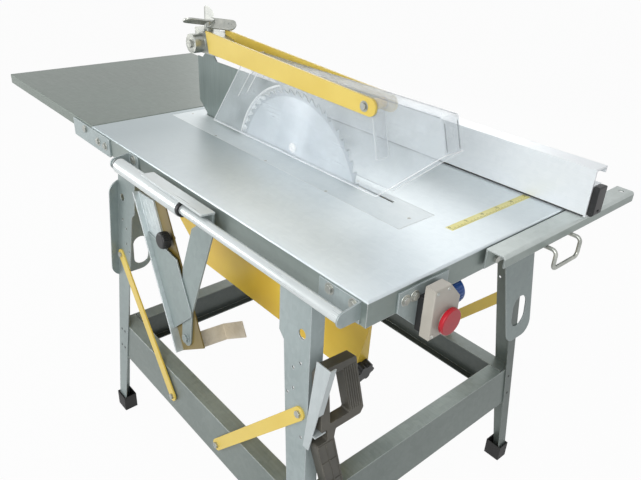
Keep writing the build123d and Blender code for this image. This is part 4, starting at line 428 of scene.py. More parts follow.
@dataclass(frozen=True)
class ClearSheet:
    """Clear plastic sheet with a faint haze, fine scratches, and a paler veil on cut edges and
    grazing faces as a painted highlight.
    """

    name: str
    tone: str
    body: float = 0.09
    # How much thicker the pale veil is on the edges, a painted highlight.
    rim: float = 0.5
    grazing_highlight: float = 0.28
    cloud: float = 14.0
    cloud_over: Pair = (0.4, 0.75)
    thickest: float = 2.0
    scratch: float = 260.0
    scratch_run: Triple = (1.0, 0.04, 1.0)
    scratch_over: Pair = (0.62, 0.78)
    scratch_share: float = 0.12
    facing: float = 0.35
    facing_over: Pair = (0.3, 1.0)
    bevel: float = 2.0
    ior: float = 1.49
    haze_over: Pair = (0.0, 0.3)
    roughness: Pair = (0.06, 0.2)
    wave: float = 9.0
    bump: Pair = (0.02, 0.3)

    def material(self) -> Material:
        """Builds the finish.

        Returns:
            The material.
        """
        g = Graph(self.name)
        smooth = g.rounded(self.bevel)
        clouds = g.noise(self.cloud, detail=6.0)
        haze = g.span(clouds, self.cloud_over, (self.body, self.body * self.thickest))
        lines = g.noise(self.scratch, self.scratch_run, detail=3.0)
        scratches = g.weigh(lines, self.scratch_share, self.scratch_over)
        facing = g.node("ShaderNodeLayerWeight", {"Blend": self.facing}).outputs["Facing"]
        # Painted highlight: edges and faces seen at a grazing angle get a thicker pale veil.
        rim = g.sums(g.edges(smooth), self.rim, "MULTIPLY")
        veil = g.sums(g.sums(haze, scratches), rim)
        veil = g.sums(veil, g.weigh(facing, self.grazing_highlight, self.facing_over))
        g.set(Base_Color=tint(self.tone), Metallic=0.0, IOR=self.ior, Alpha=veil)
        g.set(Roughness=g.span(haze, self.haze_over, self.roughness))
        g.relief(g.noise(self.wave), self.bump)
        return g.material


@dataclass(frozen=True)
class GroundDisc:
    """Steel ground in circles about the blade's own axis, with a darker ring by the teeth painted
    as the shade of the gullets.
    """

    name: str
    tone: str
    deep: str
    centre: Triple = BLADE_CENTRE
    ring: float = 900.0
    cloud: float = 9.0
    shares: Pair = (0.6, 0.4)
    # Where the painted gullet shade starts, in millimetres from the blade's centre.
    rim: float = 207.0
    gullet_shade_fade: float = 4.0
    gullet_shade_share: float = 0.7
    gullet_shade_tone: str = "98a1a6"
    # The pale tone of the painted highlight on the edges.
    edge: str = "f2f4f5"
    bevel: float = 0.6
    metallic: float = 0.55
    anisotropic: float = 0.85
    rotation: float = 0.25
    roughness: Pair = (0.28, 0.40)
    bump: Pair = (0.10, 0.06)

    def material(self) -> Material:
        """Builds the finish.

        Returns:
            The material.
        """
        g = Graph(self.name)
        reach = g.reach(self.centre)
        line = g.node("ShaderNodeCombineXYZ", {"X": reach}).outputs[0]
        rings = g.noise(self.ring, vector=line)
        clouds = g.noise(self.cloud, detail=4.0)
        mixed = g.sums(g.weigh(rings, self.shares[0]), g.weigh(clouds, self.shares[1]))
        smooth = g.rounded(self.bevel)
        base = g.blend(mixed, tint(self.deep), tint(self.tone))
        # Painted shade: a darker ring by the teeth for the shade of the gullets.
        ends = (self.rim * MM, (self.rim + self.gullet_shade_fade) * MM)
        base = g.blend(g.weigh(reach, self.gullet_shade_share, ends), base, tint(self.gullet_shade_tone))
        # Painted highlight: the blade's edges are blended towards the pale edge tone.
        g.set(Base_Color=g.blend(g.edges(smooth), base, tint(self.edge)), Metallic=self.metallic)
        g.set(Anisotropic=self.anisotropic, Anisotropic_Rotation=self.rotation)
        g.set(Roughness=g.span(rings, NOISE, self.roughness))
        g.set(Tangent=g.node("ShaderNodeTangent", direction_type="RADIAL", axis="X").outputs[0])
        g.relief(rings, self.bump, smooth)
        return g.material


@dataclass(frozen=True)
class GroundEdge:
    """Rolled steel plate whose front edge is ground bright along an arc about the blade's axis."""

    name: str
    tone: str
    deep: str
    bright: str
    arc: float
    width: float
    centre: Triple = BLADE_CENTRE
    fade: float = 0.8
    cloud: float = 8.0
    streak: float = 160.0
    mottle_over: Pair = (0.7, 1.3)
    bevel: float = 0.8
    metallic: float = 0.5
    roughness: Pair = (0.30, 0.46)
    bump: Pair = (0.08, 0.08)

    def material(self) -> Material:
        """Builds the finish.

        Returns:
            The material.
        """
        g = Graph(self.name)
        end = self.arc + self.width
        ground = g.span(g.reach(self.centre), (end * MM, (end - self.fade) * MM), WHOLE)
        clouds = g.noise(self.cloud, detail=5.0)
        streaks = g.noise(self.streak, Grain.UPRIGHT.value, detail=2.0)
        smooth = g.rounded(self.bevel)
        mottle = g.span(g.sums(clouds, streaks), self.mottle_over, WHOLE)
        base = g.blend(mottle, tint(self.deep), tint(self.tone))
        g.set(Base_Color=g.blend(ground, base, tint(self.bright)), Metallic=self.metallic)
        g.set(Roughness=g.span(g.sums(clouds, streaks), TWO_NOISES, self.roughness))
        g.relief(streaks, self.bump, smooth)
        return g.material


@dataclass(frozen=True)
class Finishes:
    """All the finishes of the saw, with the nodes that each one goes on."""

    # The table top darkens towards the rear, and its skirts below 847 mm are darker: painted shade.
    table: SheetSteel = SheetSteel(
        "table_steel", "e2e9eb", "c8d1d5", edge="fbfdfd", metallic=0.5, roughness=(0.33, 0.45),
        cloud=2.4, shares=(0.72, 0.14, 0.14), bump=0.025, bevel=2.0, edge_highlight_share=0.6,
        side_shade=("7a8581", "919b97"), side_shade_below=847.0, rear_shade="a3aeb1", rear_shade_over=(430.0, 900.0))
    insert: SheetSteel = SheetSteel(
        "insert_steel", "e0e6e7", "ccd4d7", edge="ffffff", roughness=(0.42, 0.55),
        shares=(0.66, 0.18, 0.16), bump=0.03, bevel=2.0)
    # The extension table gets a darker tone than the table top: painted shade.
    extension: SheetSteel = SheetSteel(
        "extension_steel_painted_shade", "7e8881", "677069", metallic=0.3, cloud=2.6, bevel=1.8, bump=0.04)
    # The fence rail is darker below its top: painted shade.
    rail_bar: SheetSteel = SheetSteel(
        "rail_bar_zinc", "ced5d2", "b2bab6", metallic=0.35, grain=Grain.CROSSWISE, bevel=1.8,
        side_shade=("87918d", "9fa9a4"), side_shade_below=845.0)
    leg: SheetSteel = SheetSteel(
        "leg_zinc", "a8b3b3", "8a9696", metallic=0.3, grain=Grain.UPRIGHT, bevel=1.6)
    # The right-hand legs get a darker copy of the leg finish: painted shade.
    painted_shade_leg: SheetSteel = SheetSteel(
        "leg_zinc_painted_shade", "6f7874", "565e5b", edge="b2b9b6", metallic=0.3, grain=Grain.UPRIGHT,
        bevel=1.6)
    # The left and front rails are darker below their tops: painted shade.
    rail: SheetSteel = SheetSteel(
        "rail_zinc", "98a29e", "747e7a", edge="d9dedc", metallic=0.3, cloud=5.0, bevel=1.8,
        side_shade=("66706c", "808985"), side_shade_below=316.5)
    # The right and rear rails get a darker copy of the rail finish, darker still below their tops:
    # painted shade.
    painted_shade_rail: SheetSteel = SheetSteel(
        "rail_zinc_painted_shade", "858e8a", "69716d", edge="b0b7b4", metallic=0.3, cloud=5.0, bevel=1.8,
        side_shade=("464d4a", "5a615e"), side_shade_below=316.5)
    arm: SheetSteel = SheetSteel(
        "arm_zinc", "96a2a0", "7c8786", metallic=0.3, grain=Grain.UPRIGHT, bevel=1.6)
    # The push handle's warm brownish tone stands in for reflected warm light: painted reflection.
    handle: SheetSteel = SheetSteel(
        "handle_zinc_painted_reflection", "d6cebd", "b3a893", edge="d8cfbd", metallic=0.35, cloud=12.0)
    holder: SheetSteel = SheetSteel(
        "holder_zinc", "c6cdce", "acb5b6", metallic=0.35, grain=Grain.UPRIGHT, bevel=1.6)
    tube: SheetSteel = SheetSteel(
        "tube_steel", "dce1e1", "bfc6c6", metallic=0.35, roughness=(0.24, 0.34), spangle=40.0,
        shares=(0.5, 0.16, 0.14), bump=0.02, edge_highlight_share=0.4)
    zinc: SheetSteel = SheetSteel(
        "zinc_plate", "c3c4bc", "8c908c", metallic=0.7, roughness=(0.24, 0.40), cloud=40.0,
        spangle=300.0, bevel=0.8)
    brass: SheetSteel = SheetSteel(
        "yellow_zinc", "d8bf86", "b08f4c", edge="f2e6c4", metallic=0.7, cloud=40.0)
    steel: SheetSteel = SheetSteel(
        "turned_steel", "c7cbcc", "a1a7a8", edge="ffffff", metallic=0.8)
    knife: GroundEdge = GroundEdge(
        "knife_steel", "7b8683", "6c7775", "ffffff", arc=231.0, width=4.5)
    profile: SheetSteel = SheetSteel(
        "fence_aluminium", "f2f5f7", "e3e8eb", edge="ffffff", metallic=0.30,
        roughness=(0.30, 0.42), streak=500.0, cloud=2.0, bump=0.03)
    ribbed: SheetSteel = SheetSteel(
        "mitre_aluminium", "ced6d7", "a9b3b4", edge="ffffff", grain=Grain.UPRIGHT, cloud=9.0)
    iron: SheetSteel = SheetSteel("core_iron", "77787a", "4e5052", metallic=0.8, cloud=30.0)
    blade: GroundDisc = GroundDisc("blade_steel", "dfe5ea", "c4ccd3")
    carbide: SheetSteel = SheetSteel(
        "carbide", "5f6569", "4a4f53", metallic=0.8, cloud=60.0, spangle=900.0)
    yellow: Paint = Paint("yellow_paint", "dfc55f", "d7ba4d")
    # The lower guard gets a brighter copy of the yellow paint, to offset the shade it sits in:
    # painted light.
    painted_light_yellow: Paint = Paint("guard_yellow_painted_light", "f3cf47", "e9bf35")
    # The mitre bar gets a darker copy of the yellow paint: painted shade.
    painted_shade_yellow: Paint = Paint("bar_yellow_painted_shade", "7f6c2e", "625322")
    motor: Paint = Paint("motor_grey", "8a9091", "767c7e", chips=0.3)
    black: Moulded = Moulded("black_plastic", "1d1e1f", "141515", "4a4b4c")
    rubber: Moulded = Moulded(
        "black_rubber", "191919", "101010", "3d3d3c", roughness=(0.55, 0.8), depth=0.2)
    beige: Moulded = Moulded("beige_plastic", "bfbab0", "aea99e", "dedad2")
    red: Moulded = Moulded("red_plastic", "ba0a22", "9e081c", "e06a72", roughness=(0.25, 0.38))
    blue: Moulded = Moulded("blue_plastic", "1c57a5", "174a90", "6f9ed4", roughness=(0.28, 0.42))
    stick: Moulded = Moulded("stick_plastic", "5b5850", "44423b", "9c988c", roughness=(0.45, 0.6))
    clear: ClearSheet = ClearSheet("clear_plastic", "dfe6ea", body=0.16, rim=0.4, grazing_highlight=0.2)
    # A whiter, more opaque clear sheet; on the hood's rims and flap edges it is a painted
    # highlight.
    clear_edge: ClearSheet = ClearSheet("clear_edge", "ffffff", body=0.32, rim=0.3)
    clear_shade: ClearSheet = ClearSheet("clear_shade", "5d666b", body=0.34, rim=0.2, grazing_highlight=0.1)
    strip: Moulded = Moulded("scale_yellow", "efe9a4", "e6dc8a", "fbf6c8", roughness=(0.35, 0.5))
    ink: Moulded = Moulded("scale_ink", "2a2823", "1c1b18", "3a3833")

    built: dict[str, Material] = field(default_factory=dict)
    nodes: dict[str, tuple[str, ...]] = field(default_factory=lambda: {
        "table": ("table_top",),
        "insert": ("table_insert",),
        "extension": ("extension_table",),
        "rail_bar": ("fence_rail",),
        "leg": ("leg_front_left", "switch_bracket", "extension_brackets", "tube_brackets"),
        "painted_shade_leg": ("leg_front_right", "leg_rear_right"),
        "rail": ("rail_left", "rail_front"),
        "painted_shade_rail": ("rail_right", "rail_rear"),
        "arm": ("carriage_arm", "mitre_plate", "leg_rear_left", "carry_plates"),
        "handle": ("push_handle",),
        "holder": ("push_stick_holder",),
        "tube": ("guide_tube", "carriage_sleeve"),
        "zinc": ("fasteners", "guard_hinge_bolt", "guard_front_bolt", "wing_screw",
                 "guard_saddle", "knife_clamp", "arbor_nut", "blade_flanges", "cable_hook"),
        "brass": ("guard_spacer",),
        "knife": ("riving_knife",),
        "steel": ("arbor_shaft", "motor_bearings"),
        "profile": ("fence_profile",),
        "ribbed": ("mitre_fence",),
        "iron": ("motor_stator",),
        "blade": ("saw_blade",),
        "yellow": ("guard_arm_left", "guard_arm_right", "side_braces"),
        "painted_shade_yellow": ("mitre_bar",),
        "painted_light_yellow": ("lower_guard",),
        "motor": ("motor_housing", "motor_hangers", "fan_cowl"),
        "black": ("fence_lever", "fence_shoe", "mitre_knob", "guard_lock_knob", "sleeve_bushes",
                  "switch_base", "motor_fan"),
        "rubber": ("feet",),
        "beige": ("switch_lid",),
        "red": ("stop_button",),
        "blue": ("power_inlet",),
        "stick": ("push_stick",),
        "clear": ("hood",),
    })

    def of(self, name: str) -> Material:
        """The material of one finish, built on first use.

        Args:
            name: The finish's field here.

        Returns:
            Its material.
        """
        if name not in self.built:
            self.built[name] = getattr(self, name).material()
        return self.built[name]

    def dress(self) -> None:
        """Puts the finishes on the nodes of the frame."""
        for name, nodes in self.nodes.items():
            for node in nodes:
                slots = frame["nodes"][node].data.materials
                if len(slots):
                    slots[0] = self.of(name)
                else:
                    slots.append(self.of(name))
                LOG.info("%s is finished as %s", node, name)


FINISH = Finishes()


class Solid:
    """A mesh that grows by a maker's steps."""

    BEVEL_STEPS = 2
    TIGHTEST_MITRE = 0.4
    NEARLY_CROSSWISE = 0.01

    def __init__(self) -> None:
        """Starts with nothing."""
        self.bm = bmesh.new()

    def lathe(self, profile: Profile, sides: int, turn: Matrix) -> "Solid":
        """Turns a profile round its own axis.

        Args:
            profile: Radius and height of each step, in millimetres. It may end where it starts.
            sides: How many faces go round.
            turn: Where the shape goes.

        Returns:
            The solid itself.
        """
        closed = profile[0] == profile[-1]
        rings = []
        for radius, height in profile[:-1] if closed else profile:
            ring = []
            for index in range(sides if radius > 0 else 1):
                angle = 2 * math.pi * index / sides
                spot = Vector((radius * math.cos(angle), radius * math.sin(angle), height)) * MM
                ring.append(self.bm.verts.new(turn @ spot))
            rings.append(ring)
        if closed:
            rings.append(rings[0])
        for low, high in zip(rings, rings[1:]):
            for index in range(sides):
                corners = [low[index % len(low)], low[(index + 1) % len(low)],
                           high[(index + 1) % len(high)], high[index % len(high)]]
                self.bm.faces.new(list(dict.fromkeys(corners)))
        return self

    def bar(self, size: Sequence[float], bevel: float, turn: Matrix) -> "Solid":
        """Adds a bar with rounded edges about its own middle.

        Args:
            size: Its three lengths in millimetres.
            bevel: How far its edges are rounded, in millimetres.
            turn: Where the shape goes.

        Returns:
            The solid itself.
        """
        made = bmesh.ops.create_cube(self.bm, size=1.0)["verts"]
        scale = Matrix.Diagonal((*(s * MM for s in size), 1.0))
        bmesh.ops.transform(self.bm, verts=made, matrix=scale)
        edges = list({edge for vert in made for edge in vert.link_edges})
        grown = bmesh.ops.bevel(self.bm, geom=edges, offset=bevel * MM, segments=self.BEVEL_STEPS,
                                affect="EDGES", profile=0.5)
        verts = {vert for face in grown["faces"] for vert in face.verts}
        bmesh.ops.transform(self.bm, verts=list(verts), matrix=turn)
        return self

    def fill(self, spans: Sequence[Pair], bevel: float) -> "Solid":
        """Adds a bar that fills three spans of the machine.

        Args:
            spans: Where it starts and ends along each axis, in millimetres.
            bevel: How far its edges are rounded, in millimetres.

        Returns:
            The solid itself.
        """
        middle = at(*(sum(ends) / 2 for ends in spans))
        return self.bar([high - low for low, high in spans], bevel, Matrix.Translation(middle))

    def tube(self, path: Sequence[Vector], radius: float, sides: int = 8) -> "Solid":
        """Runs a round bead along a line of points.

        Args:
            path: The points, in the frame.
            radius: The bead's radius in millimetres.
            sides: How many faces go round.

        Returns:
            The solid itself.
        """
        rings = []
        for index, here in enumerate(path):
            into = (here - path[max(index - 1, 0)]).normalized()
            out = (path[min(index + 1, len(path) - 1)] - here).normalized()
            along = (into + out).normalized()
            side = along.cross(RIGHT)
            if side.length <= self.NEARLY_CROSSWISE:
                side = along.orthogonal()
            side.normalize()
            over = along.cross(side)
            grow = 1.0 / max(self.TIGHTEST_MITRE, along.dot(out if out.length else into))
            ring = []
            for step in range(sides):
                angle = 2 * math.pi * step / sides
                spot = side * (math.cos(angle) * grow) + over * math.sin(angle)
                ring.append(self.bm.verts.new(here + spot * radius * MM))
            rings.append(ring)
        for low, high in zip(rings, rings[1:]):
            for step in range(sides):
                after = (step + 1) % sides
                self.bm.faces.new((low[step], low[after], high[after], high[step]))
        self.bm.faces.new(rings[0])
        self.bm.faces.new(rings[-1])
        return self

    def mesh(self, name: str, finish: str) -> Mesh:
        """Closes the work.

        Args:
            name: The mesh's name.
            finish: The finish that it gets.

        Returns:
            The mesh with its faces outwards, smooth except on sharp edges.
        """
        bmesh.ops.recalc_face_normals(self.bm, faces=self.bm.faces)
        mesh = bpy.data.meshes.new(name)
        self.bm.to_mesh(mesh)
        self.bm.free()
        return polish(mesh, finish)


def polish(mesh: Mesh, finish: str) -> Mesh:
    """Shades a mesh smooth between its sharp edges and gives it one finish.

    Args:
        mesh: The mesh.
        finish: The finish that it gets.

    Returns:
        The same mesh.
    """
    mesh.polygons.foreach_set("use_smooth", [True] * len(mesh.polygons))
    mesh.set_sharp_from_angle(angle=SHARP)
    mesh.materials.clear()
    mesh.materials.append(FINISH.of(finish))
    return mesh


def show(name: str, mesh: Mesh, body: str) -> None:
    """Adds a piece to the saw.

    Args:
        name: The piece's name.
        mesh: Its mesh, already in place.
        body: The body that it moves with.
    """
    piece = bpy.data.objects.new(name, mesh)
    bpy.context.scene.collection.objects.link(piece)
    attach(piece, body)
    LOG.info("%s rides on %s", name, body)


class SocketKind(Enum):
    """Kinds of inputs that a layout has."""

    COUNT = "NodeSocketInt"
    LENGTH = "NodeSocketFloat"
    POINT = "NodeSocketVector"
    PIECE = "NodeSocketObject"
    COATING = "NodeSocketMaterial"
    SURFACE = "NodeSocketGeometry"


class Layout(Nodes):
    """A Geometry Nodes tree that repeats one master shape, with named inputs."""

    def __init__(self, name: str) -> None:
        """Starts an empty tree.

        Args:
            name: The tree's name.
        """
        super().__init__(bpy.data.node_groups.new(name, "GeometryNodeTree"))
        self.keys: dict[str, str] = {}
        surface = SocketKind.SURFACE.value
        self.tree.interface.new_socket("Geometry", in_out="OUTPUT", socket_type=surface)
        self.entry = self.node("NodeGroupInput")
        self.exit = self.node("NodeGroupOutput")

    def ask(self, label: str, kind: SocketKind) -> Socket:
        """Adds a named input.

        Args:
            label: The input's name.
            kind: What it takes.

        Returns:
            Its socket inside the tree.
        """
        item = self.tree.interface.new_socket(label, in_out="INPUT", socket_type=kind.value)
        self.keys[label] = item.identifier
        return self.entry.outputs[label]

    def close(self, points: Socket, turn: Socket | None = None) -> "Layout":
        """Ends the tree: the master on each point, made real and given its finish.

        Args:
            points: Where the copies go.
            turn: How each copy is turned.

        Returns:
            The layout itself.
        """
        asked = {"Object": self.ask("Master", SocketKind.PIECE)}
        master = self.node("GeometryNodeObjectInfo", asked)
        links = {"Points": points, "Instance": master.outputs["Geometry"]}
        if turn:
            links["Rotation"] = turn
        copies = self.node("GeometryNodeInstanceOnPoints", links).outputs[0]
        real = self.node("GeometryNodeRealizeInstances", {"Geometry": copies}).outputs[0]
        coated = {"Geometry": real, "Material": self.ask("Finish", SocketKind.COATING)}
        last = self.node("GeometryNodeSetMaterial", coated)
        self.feed(self.exit.inputs[0], last.outputs[0])
        return self

    def lay(self, name: str, master: Mesh, finish: str, points: Mesh | None = None,
            **values: object) -> Mesh:
        """Runs the tree once.

        Args:
            name: The new mesh's name.
            master: The shape that is repeated.
            finish: The finish that the copies get.
            points: The points of a layout that starts from a mesh.
            **values: The named inputs.

        Returns:
            The plain mesh of all the copies.
        """
        objects = bpy.data.objects
        pattern = objects.new(name + "_master", master)
        carrier = objects.new(name + "_carrier", points or bpy.data.meshes.new(name + "_points"))
        for item in (pattern, carrier):
            bpy.context.scene.collection.objects.link(item)
        modifier = carrier.modifiers.new("layout", "NODES")
        modifier.node_group = self.tree
        values |= {"Master": pattern, "Finish": FINISH.of(finish)}
        for label, value in values.items():
            modifier[self.keys[label]] = value
        bpy.context.view_layer.update()
        evaluated = carrier.evaluated_get(bpy.context.evaluated_depsgraph_get())
        mesh = bpy.data.meshes.new_from_object(evaluated)
        carrier.modifiers.remove(modifier)
        objects.remove(carrier)
        objects.remove(pattern)
        mesh.name = name
        return polish(mesh, finish)


def row_layout() -> Layout:
    """Copies in a straight row, as for ticks and ribs.

    Returns:
        The layout, with Count, Start and Step.
    """
    made = Layout("row_of_copies")
    line = {"Count": made.ask("Count", SocketKind.COUNT),
            "Start Location": made.ask("Start", SocketKind.POINT),
            "Offset": made.ask("Step", SocketKind.POINT)}
    return made.close(made.node("GeometryNodeMeshLine", line).outputs[0])


def ring_layout() -> Layout:
    """Copies round a circle, each with its own first axis outwards, as for teeth and grips.

    Returns:
        The layout, with Count and Radius.
    """
    made = Layout("ring_of_copies")
    circle = {"Vertices": made.ask("Count", SocketKind.COUNT),
              "Radius": made.ask("Radius", SocketKind.LENGTH)}
    spots = made.node("GeometryNodeMeshCircle", circle).outputs[0]
    outwards = {"Vector": made.node("GeometryNodeInputPosition").outputs[0]}
    turn = made.node("FunctionNodeAlignRotationToVector", outwards, axis="X")
    return made.close(spots, turn.outputs[0])


def place_layout() -> Layout:
    """Copies on given places, standing along the direction kept at each, as for washers and holes.

    Returns:
        The layout, which starts from a mesh of points.
    """
    made = Layout("copies_on_places")
    spots = made.ask("Geometry", SocketKind.SURFACE)
    kept = {"Name": "lean"}
    stored = made.node("GeometryNodeInputNamedAttribute", kept, data_type="FLOAT_VECTOR")
    upwards = {"Vector": stored.outputs[0]}
    turn = made.node("FunctionNodeAlignRotationToVector", upwards, axis="Z")
    return made.close(spots, turn.outputs[0])


ROW = row_layout()
RING = ring_layout()
PLACES = place_layout()


def places(spots: Spots) -> Mesh:
    """Points for a layout on given places.

    Args:
        spots: Pairs of a place and the direction in which the copy stands.

    Returns:
        A mesh of loose points that keeps the directions.
    """
    mesh = bpy.data.meshes.new("places")
    mesh.from_pydata([spot for spot, _ in spots], [], [])
    lean = mesh.attributes.new("lean", "FLOAT_VECTOR", "POINT")
    lean.data.foreach_set("vector", [number for _, way in spots for number in way])
    return mesh


def turned(name: str, profile: Profile, sides: int, finish: str, spots: Spots) -> Mesh:
    """Copies of one turned shape on given places.

    Args:
        name: The new mesh's name.
        profile: Radius and height of each step, in millimetres.
        sides: How many faces go round.
        finish: The finish that the copies get.
        spots: Pairs of a place and the direction in which the copy stands.

    Returns:
        The plain mesh of all the copies.
    """
    master = Solid().lathe(profile, sides, FLAT).mesh(name + "_master", finish)
    return PLACES.lay(name, master, finish, places(spots))


def ringed(name: str, master: Solid, finish: str, ring: tuple[int, float], turn: Matrix) -> Mesh:
    """Copies of one shape round a circle.

    Args:
        name: The new mesh's name.
        master: The shape.
        finish: The finish that the copies get.
        ring: How many copies there are, and the circle's radius in millimetres.
        turn: Where the circle goes.

    Returns:
        The plain mesh of all the copies.
    """
    count, radius = ring
    shape = master.mesh(name + "_master", finish)
    mesh = RING.lay(name, shape, finish, Count=count, Radius=radius * MM)
    mesh.transform(turn)
    return mesh


@dataclass(frozen=True)
class Washer:
    """A flat washer with a bevelled rim."""

    radius: float
    thick: float
    bore: float = 6.0
    bevel: Pair = (0.4, 0.5)
    sides: int = 28

    def profile(self) -> Profile:
        """The washer's profile, closed on itself.

        Returns:
            Radius and height of each step, in millimetres.
        """
        flat = self.radius - self.bevel[0]
        return ((self.bore, 0.0), (flat, 0.0), (self.radius, self.bevel[1]), (flat, self.thick),
                (self.bore, self.thick), (self.bore, 0.0))

    def lay(self, name: str, spots: Spots) -> Mesh:
        """Copies of the washer on given places."""
        return turned(name, self.profile(), self.sides, "zinc", spots)


@dataclass
class Table:
    """The scale strip on the table, and a dark plate under the slot in front of the blade as
    painted shade.
    """

    top: float = 850.0
    # Spans of the black plate under the slot, painted shade.
    plate: tuple[Pair, Pair, Pair] = ((290.0, 322.0), (224.0, 318.0), (841.0, 843.0))
    shade_plate_bevel: float = 0.4
    strip_x: Pair = (293.0, 553.0)
    strip_y: Pair = (74.0, 92.0)
    strip_thick: float = 0.6
    strip_proud: float = 0.15
    strip_bevel: float = 0.12
    zero: float = 298.5
    ticks: int = 51
    pitch: float = 5.0
    tick: Pair = (0.7, 0.12)
    tick_bevel: float = 0.03
    tick_inset: float = 1.0
    tick_lift: float = 0.02
    short: float = 4.0
    long: float = 7.0
    numbers: range = range(0, 26, 5)
    number_size: float = 9.0
    number_depth: float = 0.05
    number_rise: float = 9.2
    number_lift: float = 0.03
    number_inset: float = 6.0
    per_centimetre: float = 10.0

    def build(self) -> None:
        """Makes the painted shade plate under the slot, and the strip with its ticks and numerals.
        """
        # Painted shade: a black plate seen through the slot.
        plate = Solid().fill(self.plate, self.shade_plate_bevel).mesh("slot_plate", "black")
        show("slot_plate", plate, "frame")
        face = self.top + self.strip_proud
        spans = (self.strip_x, self.strip_y, (face - self.strip_thick, face))
        strip = Solid().fill(spans, self.strip_bevel).mesh("scale_strip", "strip")
        show("scale_strip", strip, "frame")
        self.mark("scale_ticks", self.short, self.ticks, self.pitch)
        self.mark("scale_marks", self.long, self.ticks // 2 + 1, self.pitch * 2)
        show("scale_numerals", self.numerals(), "frame")

    def mark(self, name: str, length: float, count: int, pitch: float) -> None:
        """Makes a row of ticks along the strip.

        Args:
            name: The row's name.
            length: How long each tick is.
            count: How many there are.
            pitch: How far each is from the next.
        """
        width, thick = self.tick
        tick = Solid().bar((width, length, thick), self.tick_bevel, FLAT)
        foot = self.strip_y[0] + self.tick_inset
        start = at(self.zero, foot + length / 2, self.top + self.strip_proud + self.tick_lift)
        mesh = ROW.lay(name, tick.mesh(name + "_master", "ink"), "ink", Count=count, Start=start,
                       Step=(pitch * MM, 0.0, 0.0))
        show(name, mesh, "frame")

    def numerals(self) -> Mesh:
        """Plain numbers of centimetres along the strip.

        Returns:
            One mesh of all the numbers.
        """
        solid = Solid()
        rise = self.strip_y[0] + self.number_rise
        lift = self.top + self.strip_proud + self.number_lift
        for value in self.numbers:
            words = bpy.data.curves.new("numeral", "FONT")
            words.body, words.align_x = str(value), "CENTER"
            words.size, words.extrude = self.number_size * MM, self.number_depth * MM
            holder = bpy.data.objects.new("numeral", words)
            bpy.context.scene.collection.objects.link(holder)
            evaluated = holder.evaluated_get(bpy.context.evaluated_depsgraph_get())
            mesh = bpy.data.meshes.new_from_object(evaluated)
            x = max(self.zero + value * self.per_centimetre, self.strip_x[0] + self.number_inset)
            mesh.transform(Matrix.Translation(at(x, rise, lift)))
            solid.bm.from_mesh(mesh)
            bpy.data.objects.remove(holder)
        return solid.mesh("scale_numerals", "ink")


@dataclass
class Blade:
    """The hard tips brazed on the blade's teeth."""

    centre: Triple = BLADE_CENTRE
    radius: float = 225.0
    teeth: int = 56
    tip: Triple = (6.5, 2.2, 4.2)
    tip_bevel: float = 0.3
    tip_proud: float = 0.2
    lag: float = -0.35

    def build(self) -> None:
        """Makes the ring of tips."""
        tip = Solid().bar(self.tip, self.tip_bevel, FLAT)
        ring = (self.teeth, self.radius - self.tip[0] / 2 + self.tip_proud)
        lag = Matrix.Rotation(math.radians(self.lag), 4, "Z")
        turn = Matrix.Translation(at(*self.centre)) @ ROUND_X @ lag
        show("tooth_tips", ringed("tooth_tips", tip, "carbide", ring, turn), "rotor")


@dataclass
class Stand:
    """Washers under the bolts, and black discs painted as the shade of holes where the rails meet
    the legs.
    """

    table_width: float = 660.0
    table_length: float = 1000.0
    leg_top: Triple = (3.5, 130.0, 800.0)
    lean_x: float = 0.068
    lean_y: float = 0.08
    hole: Profile = ((0.0, -0.6), (3.6, -0.6), (3.6, 0.1), (2.8, 0.3), (0.0, 0.3))
    hole_sides: int = 16
    hole_heights: Pair = (236.0, 292.0)
    side_insets: Pair = (16.0, 34.0)
    front_inset: float = 16.0
    washer: Washer = Washer(10.8, 1.3)
    bracket_bolts: tuple[float, ...] = (27.04, 82.24, 765.0)
    bracket_at: Pair = (-3.0, 834.0)
    hinge_bolts: tuple[float, ...] = (919.0, 960.0)
    hinge_at: Pair = (-4.0, 821.0)
    switch_bolts: tuple[float, ...] = (84.0, 106.0)
    switch_at: Pair = (-3.0, 822.0)

    def leg_x(self, z: float) -> float:
        """Outer face of a left leg at a height."""
        return self.leg_top[0] - self.lean_x * (self.leg_top[2] - z)

    def leg_y(self, z: float) -> float:
        """Front face of a front leg at a height."""
        return self.leg_top[1] - self.lean_y * (self.leg_top[2] - z)

    def corners(self, x: float, y: float, z: float, way: Vector) -> list[tuple[Vector, Vector]]:
        """A place on the front left leg, and its mirror places on the other three.

        Args:
            x: The place across the table.
            y: The place along the table.
            z: Its height.
            way: The direction in which a copy stands there.

        Returns:
            The four places, each with its direction.
        """
        spots = []
        for mirrored_x, way_x in ((x, way.x), (self.table_width - x, -way.x)):
            for mirrored_y, way_y in ((y, way.y), (self.table_length - y, -way.y)):
                spots.append((at(mirrored_x, mirrored_y, z), Vector((way_x, way_y, way.z))))
        return spots

    def build(self) -> None:
        """Makes the holes and the washers."""
        side = Vector((-1.0, 0.0, self.lean_x)).normalized()
        front = Vector((0.0, -1.0, self.lean_y)).normalized()
        spots = []
        for z in self.hole_heights:
            x, y = self.leg_x(z), self.leg_y(z)
            for inset in self.side_insets:
                spots += self.corners(x, y + inset, z, side)
            spots += self.corners(x + self.front_inset, y, z, front)
        # Painted shade: black discs stand in for the shaded inside of the holes.
        holes = turned("leg_holes", self.hole, self.hole_sides, "rubber", spots)
        show("leg_holes", holes, "frame")
        self.washers()

    def washers(self) -> None:
        """Makes the washers round the hexagon heads on the skirts."""
        face, height = self.bracket_at
        spots = [(at(face, y, height), LEFT) for y in self.bracket_bolts]
        face, height = self.hinge_at
        for x, way in ((face, LEFT), (self.table_width - face, RIGHT)):
            spots += [(at(x, y, height), way) for y in self.hinge_bolts]
        face, height = self.switch_at
        spots += [(at(x, face, height), FRONT) for x in self.switch_bolts]
        show("bolt_washers", self.washer.lay("bolt_washers", spots), "frame")


